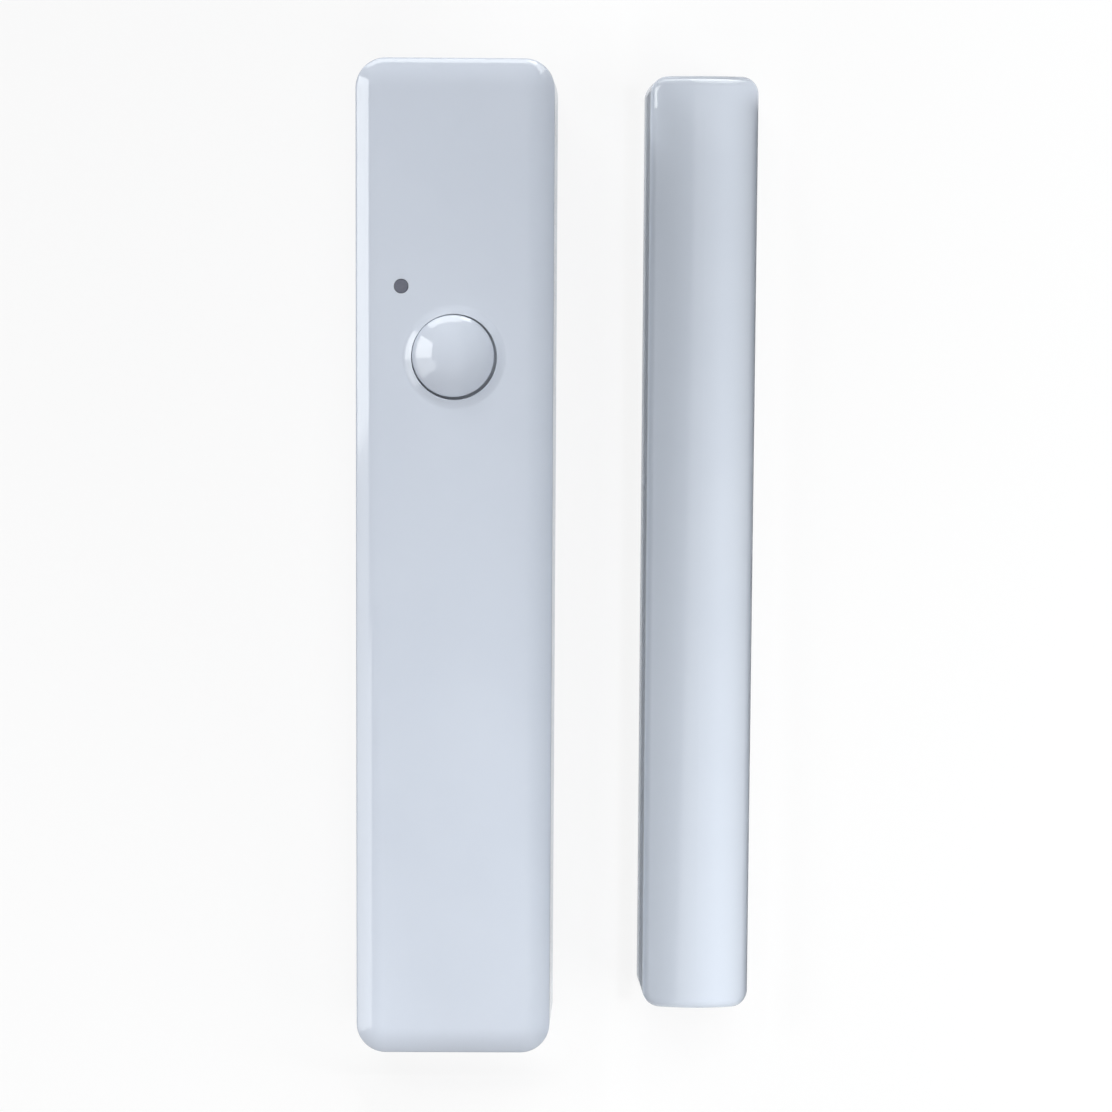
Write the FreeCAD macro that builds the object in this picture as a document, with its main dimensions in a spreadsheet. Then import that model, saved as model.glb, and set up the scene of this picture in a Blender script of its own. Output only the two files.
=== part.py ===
import FreeCAD, Part
import os
import Sketcher

# Wireless door contact: a slim transmitter unit and its long, narrow magnet unit, lying on their backs
# Millimetres; origin under the middle of the transmitter's adhesive pad, +Z towards the front face,
# +Y towards the end with the button, +X towards the magnet unit

doc = FreeCAD.newDocument("door_contact")
VECTOR = FreeCAD.Vector

# Heights nearer than this count as one
TOUCH = 0.01

# Driving dimensions: every size that can be set by itself, written once
SIZES = {
    # Transmitter housing; its height comes from the cell and the walls round it
    "sensor_length": 119.0,
    "sensor_width": 24.1,
    "sensor_corner": 4.0,
    "draft_angle": 2.5,
    "cover_wall": 1.4,
    "edge_round": 5.1,
    "edge_band": 3.8,
    "corner_spare": 0.2,
    "least_corner": 0.6,
    "crease_round": 0.5,
    "cavity_round": 1.2,
    "parting_height": 2.4,
    "shadow_gap": 0.4,
    "plate_floor": 1.6,
    "plate_chamfer": 0.3,
    "lip_height": 2.5,
    "lip_wall": 1.2,
    "lip_gap": 0.15,
    "snap_length": 5.0,
    "snap_depth": 0.3,
    "snap_height": 0.8,
    "snap_rise": 1.2,
    "snap_gap": 0.1,
    "snap_spacing": 30.0,
    "wall_screw_hole": 3.5,
    "wall_screw_end_room": 5.7,
    "screw_chamfer": 0.6,
    # Adhesive pads, let into the back of each unit
    "foam_thickness": 1.0,
    "foam_recess": 0.8,
    "foam_corner": 2.0,
    "foam_gap": 0.2,
    "sensor_foam_end_room": 24.5,
    "sensor_foam_side_room": 5.05,
    # Push button; the cap sits a little off centre in its hole, by its side play
    "button_end_room": 35.1,
    "button_hole": 10.0,
    "button_gap": 0.3,
    "button_play": 0.14,
    "button_skirt": 0.35,
    "button_dome": 2.0,
    "button_rim_round": 0.3,
    "button_flange": 11.4,
    "flange_thick": 0.8,
    "flange_drop": 0.15,
    "button_post": 3.5,
    "button_post_reach": 0.45,
    "cap_wall": 1.1,
    "button_travel": 0.4,
    "hole_lip_width": 1.1,
    "hole_lip_rise": 0.45,
    "guide_gap": 0.4,
    "guide_wall": 0.9,
    "guide_height": 1.9,
    # Light window
    "window_x": -6.2,
    "window_above_button": 8.2,
    "pipe_width": 1.6,
    "pipe_gap": 0.05,
    "pipe_flange": 3.0,
    "pipe_flange_thick": 0.8,
    "pipe_boss_wall": 0.8,
    "pipe_led_gap": 0.2,
    # Circuit board
    "board_stand": 3.4,
    "board_thick": 1.2,
    "board_side_room": 2.05,
    "board_top_room": 11.5,
    "board_low_room": 8.5,
    "board_edge_gap": 0.45,
    "boss_width": 4.4,
    "board_screw": 2.0,
    "board_screw_length": 4.5,
    "board_screw_head": 3.8,
    "board_screw_head_height": 1.4,
    "board_screw_crown": 3.0,
    "board_screw_slot": 0.7,
    "screw_run": 0.05,
    "board_hole_gap": 0.15,
    "upper_screw_edge_room": 2.8,
    "upper_screw_end_room": 9.4,
    "lower_screw_end_room": 4.6,
    "hold_post": 2.4,
    "hold_gap": 0.1,
    "hold_post_edge_room": 1.8,
    "right_post_above_button": 7.1,
    "left_post_below_button": 5.9,
    # Tact switch under the button
    "tact_side": 6.0,
    "tact_base_height": 3.2,
    "tact_frame_thick": 0.3,
    "tact_stem": 3.5,
    "tact_stem_gap": 0.1,
    "tact_stem_inside": 1.2,
    "tact_leg_width": 0.7,
    "tact_leg_reach": 1.0,
    "tact_leg_thick": 0.2,
    "tact_leg_spacing": 4.5,
    # Parts soldered to the board
    "led_length": 2.0,
    "led_width": 1.25,
    "led_height": 0.8,
    "chip_side": 5.0,
    "chip_height": 0.9,
    "chip_mark": 0.9,
    "chip_mark_depth": 0.2,
    "chip_edge_room": 5.4,
    "shield_length": 11.0,
    "shield_width": 8.0,
    "shield_height": 1.8,
    "shield_x": 0.4,
    "shield_above_button": 10.8,
    "shield_wall": 0.2,
    "crystal_length": 3.2,
    "crystal_width": 2.5,
    "crystal_height": 0.8,
    "crystal_edge_room": 2.8,
    "crystal_below_button": 0.4,
    "inductor_side": 4.0,
    "inductor_height": 2.0,
    "inductor_edge_room": 1.0,
    "inductor_below_step": 6.0,
    "inductor_chamfer": 0.5,
    "capacitor_width": 5.0,
    "capacitor_height": 5.5,
    "capacitor_below_step": 20.0,
    "capacitor_rim": 0.2,
    "capacitor_base": 0.8,
    # Antenna coil across the top of the board
    "coil_width": 4.4,
    "coil_wire": 0.7,
    "coil_pitch": 1.5,
    "coil_turns": 7,
    "coil_end_room": 3.6,
    "coil_lift": 0.5,
    # Reed switch at the edge beside the magnet unit
    "reed_glass_width": 2.0,
    "reed_glass_length": 14.0,
    "reed_glass_wall": 0.3,
    "reed_glass_end": 1.4,
    "reed_edge_room": 1.4,
    "reed_below_button": 19.4,
    "reed_lead": 0.5,
    "reed_lead_reach": 3.0,
    "reed_lift": 0.2,
    "reed_overlap": 1.6,
    "reed_contact_gap": 0.1,
    "reed_blade_thick": 0.2,
    "reed_blade_width": 0.9,
    # Battery (one AAA cell) and its contacts
    "cell_width": 10.5,
    "cell_length": 44.5,
    "cell_nub": 3.8,
    "cell_nub_height": 1.2,
    "cell_edge_round": 0.6,
    "cell_side_room": 1.1,
    "cell_lift": 0.25,
    "cell_roof_gap": 0.25,
    "contact_thick": 0.4,
    "contact_width": 7.0,
    "contact_height": 7.6,
    "contact_foot_width": 3.6,
    "contact_foot_reach": 2.9,
    "contact_leg_reach": 4.6,
    "contact_end_room": 0.6,
    "spring_length": 3.4,
    "spring_wire": 0.6,
    "spring_width": 6.0,
    "spring_turns": 4,
    "saddle_wall": 1.4,
    "saddle_gap": 0.1,
    "saddle_height": 3.0,
    "saddle_spacing": 24.0,
    # Tamper switch on the board's underside, with its plunger through the back
    "tamper_edge_room": 6.0,
    "tamper_below_button": 9.4,
    "tamper_side": 4.5,
    "tamper_lift": 0.4,
    "tamper_floor": 0.4,
    "tamper_roof": 0.4,
    "tamper_plunger": 2.0,
    "tamper_run": 0.05,
    "tamper_collar": 3.0,
    "tamper_collar_height": 0.5,
    "tamper_collar_gap": 0.1,
    "tamper_travel": 1.2,
    "tamper_tip_round": 0.3,
    "tamper_back_gap": 0.4,
    "tamper_foam_gap": 1.0,
    # Magnet unit
    "unit_spacing": 29.2,
    "magnet_shift": 1.7,
    "magnet_length": 112.0,
    "magnet_width": 13.4,
    "magnet_height": 12.4,
    "magnet_corner": 2.4,
    "magnet_wall": 1.3,
    "magnet_crown": 15.0,
    "magnet_edge_round": 1.3,
    "magnet_snap_spacing": 40.0,
    "magnet_screw_hole": 3.2,
    "magnet_screw_end_room": 8.0,
    "magnet_foam_end_room": 14.0,
    "magnet_foam_side_room": 2.9,
    "bar_length": 40.0,
    "bar_width": 7.0,
    "bar_height": 5.0,
    "bar_chamfer": 0.5,
    "bar_gap": 0.15,
    "stop_thick": 1.2,
    "stop_height": 3.0,
}

# Places and sizes worked out from the driving dimensions
LAYOUT = {
    # Heights, from the wall outwards
    "plate_back": "dim.foam_thickness - dim.foam_recess",
    "floor_top": "lay.plate_back + dim.plate_floor",
    "lip_top": "dim.parting_height + dim.lip_height",
    "snap_foot": "dim.parting_height + dim.snap_rise",
    "cell_centre": "lay.floor_top + dim.cell_lift + dim.cell_width / 2",
    "ceiling": "lay.cell_centre + dim.cell_width / 2 + dim.cell_roof_gap",
    "sensor_height": "lay.ceiling + dim.cover_wall",
    "board_foot": "lay.floor_top + dim.board_stand",
    "board_top": "lay.board_foot + dim.board_thick",
    # Cover edge
    "edge_overhang": "dim.edge_round - min(dim.edge_band; dim.sensor_corner - dim.corner_spare)",
    # Ends and sides of the board, and the cell with its contacts beside it
    "sensor_end": "dim.sensor_length / 2",
    "board_edge": "dim.sensor_width / 2 - dim.board_side_room",
    "board_top_end": "lay.sensor_end - dim.board_top_room",
    "board_low_end": "dim.board_low_room - lay.sensor_end",
    "cell_x": "dim.cover_wall + dim.cell_side_room + (dim.cell_width - dim.sensor_width) / 2",
    "negative_plate": "lay.board_low_end + dim.contact_end_room",
    "cell_low_end": "lay.negative_plate + dim.contact_thick + dim.spring_length",
    "cell_body_length": "dim.cell_length - dim.cell_nub_height",
    "cell_top_end": "lay.cell_low_end + dim.cell_length",
    "cell_middle": "lay.cell_low_end + lay.cell_body_length / 2",
    "contact_foot": "lay.cell_centre - dim.contact_height / 2",
    "contact_foot_end": "lay.cell_top_end + dim.contact_foot_reach",
    "strip_left": "lay.cell_x + dim.cell_width / 2 + dim.board_edge_gap",
    "strip_middle": "(lay.strip_left + lay.board_edge) / 2",
    "board_step": "lay.cell_top_end + dim.contact_thick + dim.board_edge_gap",
    # Button and tact switch
    "button_along": "lay.sensor_end - dim.button_end_room",
    "cap_width": "dim.button_hole - 2 * dim.button_gap",
    "cap_x": "-dim.button_play",
    "cap_along": "lay.button_along + dim.button_play",
    "dome_radius": "((lay.cap_width / 2)^2 + dim.button_dome^2) / (2 * dim.button_dome)",
    "dome_top": "lay.sensor_height + dim.button_skirt + dim.button_dome",
    "flange_top": "lay.ceiling - dim.flange_drop",
    "flange_foot": "lay.flange_top - dim.flange_thick",
    "guide_bore": "dim.button_flange + 2 * dim.guide_gap",
    "tact_top": "lay.board_top + dim.tact_base_height",
    "tact_pocket": "dim.tact_stem_inside + dim.button_travel + dim.tact_stem_gap",
    "stem_foot": "lay.tact_top - dim.tact_stem_inside",
    "stem_top": "lay.flange_foot - dim.button_post_reach",
    # Light window, board screws and posts
    "window_along": "lay.button_along + dim.window_above_button",
    "pipe_foot": "lay.board_top + dim.led_height + dim.pipe_led_gap",
    "upper_screw_x": "lay.board_edge - dim.upper_screw_edge_room",
    "upper_screw_along": "lay.board_top_end - dim.upper_screw_end_room",
    "lower_screw_x": "lay.strip_middle",
    "lower_screw_along": "lay.board_low_end + dim.lower_screw_end_room",
    "hold_post_x": "lay.board_edge - dim.hold_post_edge_room",
    "right_post_along": "lay.button_along + dim.right_post_above_button",
    "left_post_along": "lay.button_along - dim.left_post_below_button",
    # Parts on the board
    "chip_x": "dim.chip_edge_room - lay.board_edge",
    "chip_along": "(lay.contact_foot_end + lay.button_along - dim.tact_side / 2) / 2",
    "shield_along": "lay.button_along + dim.shield_above_button",
    "crystal_x": "dim.crystal_edge_room - lay.board_edge",
    "crystal_along": "lay.button_along - dim.crystal_below_button",
    "inductor_x": "lay.strip_left + dim.inductor_edge_room + dim.inductor_side / 2",
    "inductor_along": "lay.board_step - dim.inductor_below_step",
    "capacitor_along": "lay.board_step - dim.capacitor_below_step",
    "coil_along": "lay.board_top_end - dim.coil_end_room",
    "coil_centre": "lay.board_top + dim.coil_lift + dim.coil_width / 2 + dim.coil_wire / 2",
    "coil_length": "dim.coil_pitch * dim.coil_turns",
    "reed_x": "lay.board_edge - dim.reed_edge_room",
    "reed_along": "lay.button_along - dim.reed_below_button",
    "reed_axis": "lay.board_top + dim.reed_lift + dim.reed_glass_width / 2",
    # Tamper switch
    "tamper_x": "dim.tamper_edge_room - lay.board_edge",
    "tamper_along": "lay.button_along - dim.tamper_below_button",
    "tamper_foot": "lay.floor_top + dim.tamper_lift",
    "tamper_pocket_foot": "lay.tamper_foot + dim.tamper_floor",
    "tamper_pocket_depth": "lay.board_foot - dim.tamper_roof - lay.tamper_pocket_foot",
    "tamper_collar_foot": "lay.tamper_pocket_foot + dim.tamper_travel + dim.tamper_collar_gap",
    # Adhesive pads and the bar magnet
    "sensor_foam_width": "dim.sensor_width - 2 * dim.sensor_foam_side_room",
    "sensor_foam_length": "dim.sensor_length - 2 * dim.sensor_foam_end_room",
    "magnet_foam_width": "dim.magnet_width - 2 * dim.magnet_foam_side_room",
    "magnet_foam_length": "dim.magnet_length - 2 * dim.magnet_foam_end_room",
    "bar_top": "lay.floor_top + dim.bar_height",
}

dim = doc.addObject("Spreadsheet::Sheet", "dim")
for row, (alias, size) in enumerate(SIZES.items(), start=1):
    dim.set(f"A{row}", alias)
    dim.set(f"B{row}", str(size))
    dim.setAlias(f"B{row}", alias)
doc.recompute()

lay = doc.addObject("App::VarSet", "lay")
for alias, text in LAYOUT.items():
    lay.addProperty("App::PropertyFloat", alias, "Layout")
    lay.setExpression(alias, text)
doc.recompute()


# Helpers; every size and place that they take is an expression on the sheet and the layout
def value(text):
    """The number that an expression gives now."""
    return float(lay.evalExpression(text))


def bind(thing, texts):
    """Tie properties of a thing to expressions."""
    for path, text in texts.items():
        thing.setExpression(path, text)


def place(thing, x, y, z):
    """Tie the place of a thing to expressions."""
    bind(thing, {"Placement.Base.x": x, "Placement.Base.y": y, "Placement.Base.z": z})
    return thing


def lay_along_y(thing):
    """Turn a thing whose own axis is upright so that the axis runs along +Y."""
    thing.Placement = FreeCAD.Placement(VECTOR(), FreeCAD.Rotation(VECTOR(1, 0, 0), -90))
    return thing


def block(name, x, y, z):
    """A box: centre and width along x and along y, foot and height along z."""
    made = doc.addObject("Part::Box", name)
    bind(made, {"Length": x[1], "Width": y[1], "Height": z[1]})
    return place(made, f"{x[0]} - ({x[1]}) / 2", f"{y[0]} - ({y[1]}) / 2", z[0])


def rod(name, x, y, z, width):
    """An upright cylinder: place in plan, foot and height along z."""
    made = doc.addObject("Part::Cylinder", name)
    bind(made, {"Radius": f"({width}) / 2", "Height": z[1]})
    return place(made, x, y, z[0])


def lying_rod(name, x, y, z, width):
    """A cylinder along y: low end and length along y, height of its axis."""
    made = lay_along_y(doc.addObject("Part::Cylinder", name))
    bind(made, {"Radius": f"({width}) / 2", "Height": y[1]})
    return place(made, x, y[0], z)


def cone(name, x, y, z, low_width, high_width):
    """An upright cone: place in plan, foot and height, width at foot and head."""
    made = doc.addObject("Part::Cone", name)
    bind(made, {"Radius1": f"({low_width}) / 2", "Radius2": f"({high_width}) / 2", "Height": z[1]})
    return place(made, x, y, z[0])


def fuse(name, parts):
    """Parts joined into one."""
    made = doc.addObject("Part::MultiFuse", name)
    made.Shapes = parts
    made.Refine = True
    return made


def shared(name, parts):
    """What the parts have in common."""
    made = doc.addObject("Part::MultiCommon", name)
    made.Shapes = parts
    return made


def cut(name, base, tools):
    """A base with the tools taken out of it."""
    made = doc.addObject("Part::Cut", name)
    made.Base = base
    made.Tool = tools[0] if len(tools) == 1 else fuse(f"{name}_tools", tools)
    return made


def level_edges(shape, low, high=None):
    """Numbers of the edges that lie level at a height, or between two heights."""
    lowest = value(low) - TOUCH
    highest = value(high or low) + TOUCH
    numbers = []
    for number, edge in enumerate(shape.Edges, start=1):
        box = edge.BoundBox
        if box.ZLength < TOUCH and lowest < box.ZMin < highest:
            numbers.append(number)
    return numbers


def round_edges(name, base, numbers, radius):
    """A base with some edges rounded."""
    made = doc.addObject("Part::Fillet", name)
    made.Base = base
    made.Edges = [(number, value(radius), value(radius)) for number in numbers]
    return made


def chamfer_edges(name, base, numbers, depth):
    """A base with some edges chamfered."""
    made = doc.addObject("Part::Chamfer", name)
    made.Base = base
    made.Edges = [(number, value(depth), value(depth)) for number in numbers]
    return made


def sketch_on(body, role):
    """A new sketch on one of the body's own origin planes."""
    sketch = body.newObject("Sketcher::SketchObject", f"{body.Name}_sketch")
    plane = next(item for item in body.Origin.OriginFeatures if item.Role == role)
    sketch.AttachmentSupport = [(plane, "")]
    sketch.MapMode = "FlatFace"
    return sketch


def name_bound(sketch, constraint, name, text):
    """Add a sketch constraint and tie it to an expression."""
    number = sketch.addConstraint(constraint)
    sketch.renameConstraint(number, name)
    sketch.setExpression(f"Constraints.{name}", text)


def draw_outline(sketch, points):
    """A closed outline of straight runs through points, each a pair of expressions."""
    spots = [VECTOR(value(across), value(up), 0) for across, up in points]
    for start, end in zip(spots, spots[1:] + spots[:1]):
        sketch.addGeometry(Part.LineSegment(start, end))
    for number, (across, up) in enumerate(points):
        following = (number + 1) % len(points)
        sketch.addConstraint(Sketcher.Constraint("Coincident", number, 2, following, 1))
        along = Sketcher.Constraint("DistanceX", -1, 1, number, 1, spots[number].x)
        above = Sketcher.Constraint("DistanceY", -1, 1, number, 1, spots[number].y)
        name_bound(sketch, along, f"across_{number}", across)
        name_bound(sketch, above, f"up_{number}", up)


def draw_rounded(sketch, width, length, corner):
    """A rounded rectangle about the sketch's origin."""
    half_width = value(width) / 2
    half_length = value(length) / 2
    radius = value(corner)
    lines = []
    turns = []
    for quarter in range(4):
        long_side = quarter % 2 == 1
        reach = half_width if long_side else half_length
        run = (half_length if long_side else half_width) - radius
        turned = FreeCAD.Rotation(VECTOR(0, 0, 1), 90 * quarter)
        start = turned.multVec(VECTOR(-run, -reach, 0))
        end = turned.multVec(VECTOR(run, -reach, 0))
        centre = turned.multVec(VECTOR(run, radius - reach, 0))
        middle = centre + turned.multVec(VECTOR(1, -1, 0)) * (radius / 2 ** 0.5)
        after = centre + turned.multVec(VECTOR(radius, 0, 0))
        lines.append(sketch.addGeometry(Part.LineSegment(start, end)))
        turns.append(sketch.addGeometry(Part.Arc(end, middle, after)))
    for quarter in range(4):
        sketch.addConstraint(Sketcher.Constraint("Tangent", lines[quarter], 2, turns[quarter], 1))
        sketch.addConstraint(Sketcher.Constraint("Tangent", turns[quarter], 2, lines[quarter - 3], 1))
    sketch.addConstraint([
        Sketcher.Constraint("Horizontal", lines[0]),
        Sketcher.Constraint("Horizontal", lines[2]),
        Sketcher.Constraint("Vertical", lines[1]),
        Sketcher.Constraint("Vertical", lines[3]),
        Sketcher.Constraint("Equal", turns[0], turns[1]),
        Sketcher.Constraint("Equal", turns[0], turns[2]),
        Sketcher.Constraint("Equal", turns[0], turns[3]),
        Sketcher.Constraint("Symmetric", lines[0], 1, lines[2], 1, -1, 1),
    ])
    name_bound(sketch, Sketcher.Constraint("Radius", turns[0], radius), "corner", corner)
    across = Sketcher.Constraint("DistanceX", lines[3], 1, lines[1], 1, 2 * half_width)
    along = Sketcher.Constraint("DistanceY", lines[0], 1, lines[2], 1, 2 * half_length)
    name_bound(sketch, across, "width", width)
    name_bound(sketch, along, "length", length)


def rounded_block(name, plan, x, y, z, draft="0"):
    """A block on a rounded rectangle (width, length, corner), its walls leaning in by the draft."""
    body = doc.addObject("PartDesign::Body", name)
    sketch = sketch_on(body, "XY_Plane")
    draw_rounded(sketch, *plan)
    pad = body.newObject("PartDesign::Pad", f"{name}_pad")
    pad.Profile = sketch
    bind(pad, {"Length": z[1], "TaperAngle": f"-({draft})"})
    return place(body, x, y, z[0])


def outlined_plate(name, points, z):
    """A flat plate on an outline in plan."""
    body = doc.addObject("PartDesign::Body", name)
    sketch = sketch_on(body, "XY_Plane")
    draw_outline(sketch, points)
    pad = body.newObject("PartDesign::Pad", f"{name}_pad")
    pad.Profile = sketch
    bind(pad, {"Length": z[1]})
    return place(body, "0", "0", z[0])


def turned_piece(name, points):
    """A piece turned about its upright axis: points give radius and height."""
    body = doc.addObject("PartDesign::Body", name)
    sketch = sketch_on(body, "XZ_Plane")
    draw_outline(sketch, points)
    turn = body.newObject("PartDesign::Revolution", f"{name}_turn")
    turn.Profile = sketch
    turn.ReferenceAxis = (sketch, ["V_Axis"])
    turn.Angle = 360
    return body


def coil(name, axis, centre, wire, pitch, turns):
    """A wire coil in a body: the wire starts at a point of the XZ plane and winds about a sketch axis."""
    body = doc.addObject("PartDesign::Body", name)
    sketch = sketch_on(body, "XZ_Plane")
    spot = VECTOR(value(centre[0]), value(centre[1]), 0)
    ring = sketch.addGeometry(Part.Circle(spot, VECTOR(0, 0, 1), value(wire) / 2))
    name_bound(sketch, Sketcher.Constraint("Diameter", ring, value(wire)), "wire", wire)
    across = Sketcher.Constraint("DistanceX", -1, 1, ring, 3, spot.x)
    above = Sketcher.Constraint("DistanceY", -1, 1, ring, 3, spot.y)
    name_bound(sketch, across, "across", centre[0])
    name_bound(sketch, above, "up", centre[1])
    doc.recompute()
    winding = body.newObject("PartDesign::AdditiveHelix", f"{name}_winding")
    winding.Profile = sketch
    winding.ReferenceAxis = (sketch, [axis])
    winding.Mode = "pitch-turns-angle"
    bind(winding, {"Pitch": pitch, "Turns": turns})
    return body


PIECES = []


def piece(label, made):
    """Give a finished sub-part its name and list it."""
    made.Label = label
    PIECES.append(made)
    return made


# Housing shells, made the same way for both units
class Unit:
    """What a housing is made from; every value is an expression."""

    def __init__(self, name, x, y, wall, snap_spots):
        self.name = name
        self.x = x
        self.y = y
        self.width = f"dim.{name}_width"
        self.length = f"dim.{name}_length"
        self.corner = f"dim.{name}_corner"
        self.wall = wall
        self.snap_spots = snap_spots
        self.lip_face = f"({self.width} / 2 - {wall} - dim.lip_gap)"

    def outline(self, name, inset, z, draft="0"):
        """A block on the unit's outline, set in by some distance, its walls leaning in by the draft."""
        plan = (
            f"{self.width} - 2 * ({inset})",
            f"{self.length} - 2 * ({inset})",
            f"max({self.corner} - ({inset}); dim.least_corner)",
        )
        return rounded_block(f"{self.name}_{name}", plan, self.x, self.y, z, draft)


SENSOR = Unit(
    "sensor", "0", "0", "dim.cover_wall",
    ["-1.5 * dim.snap_spacing", "-0.5 * dim.snap_spacing", "0.5 * dim.snap_spacing",
     "1.5 * dim.snap_spacing"],
)
MAGNET = Unit(
    "magnet", "dim.unit_spacing", "dim.magnet_shift", "dim.magnet_wall",
    ["-dim.magnet_snap_spacing", "0", "dim.magnet_snap_spacing"],
)


def snap_blocks(unit, kind, gap):
    """The snap nubs on the lip, or with a gap round them the recesses that they sit in."""
    made = []
    for side in (-1, 1):
        for number, spot in enumerate(unit.snap_spots):
            made.append(block(
                f"{unit.name}_{kind}_{number}_{side + 1}",
                (f"{unit.x} + {side} * {unit.lip_face}", f"2 * (dim.snap_depth + {gap})"),
                (f"{unit.y} + {spot}", f"dim.snap_length + 2 * {gap}"),
                (f"lay.snap_foot - {gap}", f"dim.snap_height + 2 * {gap}"),
            ))
    return made


def plate_blank(unit):
    """A back plate before its bosses: floor, low rim and the lip that locates the cover."""
    rim = unit.outline("rim", "dim.shadow_gap", ("lay.plate_back", "dim.parting_height - lay.plate_back"))
    doc.recompute()
    foot_edges = level_edges(rim.Shape, "lay.plate_back")
    base = chamfer_edges(f"{unit.name}_base", rim, foot_edges, "dim.plate_chamfer")
    lip_inset = f"{unit.wall} + dim.lip_gap"
    lip = unit.outline("lip", lip_inset, ("lay.floor_top", "lay.lip_top - lay.floor_top"))
    room = unit.outline("room", f"{lip_inset} + dim.lip_wall", ("lay.floor_top", "lay.lip_top"))
    tray = fuse(f"{unit.name}_tray", [base, lip] + snap_blocks(unit, "nub", "0"))
    return cut(f"{unit.name}_plate_blank", tray, [room])


def wall_screw_cuts(unit, width, end_room):
    """The two screw holes through a back plate, chamfered where the screw head sits."""
    made = []
    for side in (-1, 1):
        along = f"{unit.y} + {side} * ({unit.length} / 2 - {end_room})"
        made.append(rod(
            f"{unit.name}_screw_hole_{side + 1}", unit.x, along, ("0", "dim.parting_height"), width,
        ))
        made.append(cone(
            f"{unit.name}_screw_sink_{side + 1}", unit.x, along,
            ("lay.floor_top - dim.screw_chamfer", "dim.screw_chamfer"),
            width, f"{width} + 2 * dim.screw_chamfer",
        ))
    return made


def foam_recess(unit, width, length):
    """The shallow recess in the back that holds the adhesive pad."""
    plan = (
        f"{width} + 2 * dim.foam_gap",
        f"{length} + 2 * dim.foam_gap",
        "dim.foam_corner + dim.foam_gap",
    )
    return rounded_block(f"{unit.name}_foam_recess", plan, unit.x, unit.y, ("0", "dim.foam_thickness"))


def foam_blank(unit, width, length):
    """The adhesive pad, standing a little proud of the back."""
    plan = (width, length, "dim.foam_corner")
    return rounded_block(f"{unit.name}_foam", plan, unit.x, unit.y, ("0", "dim.foam_thickness"))


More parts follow.
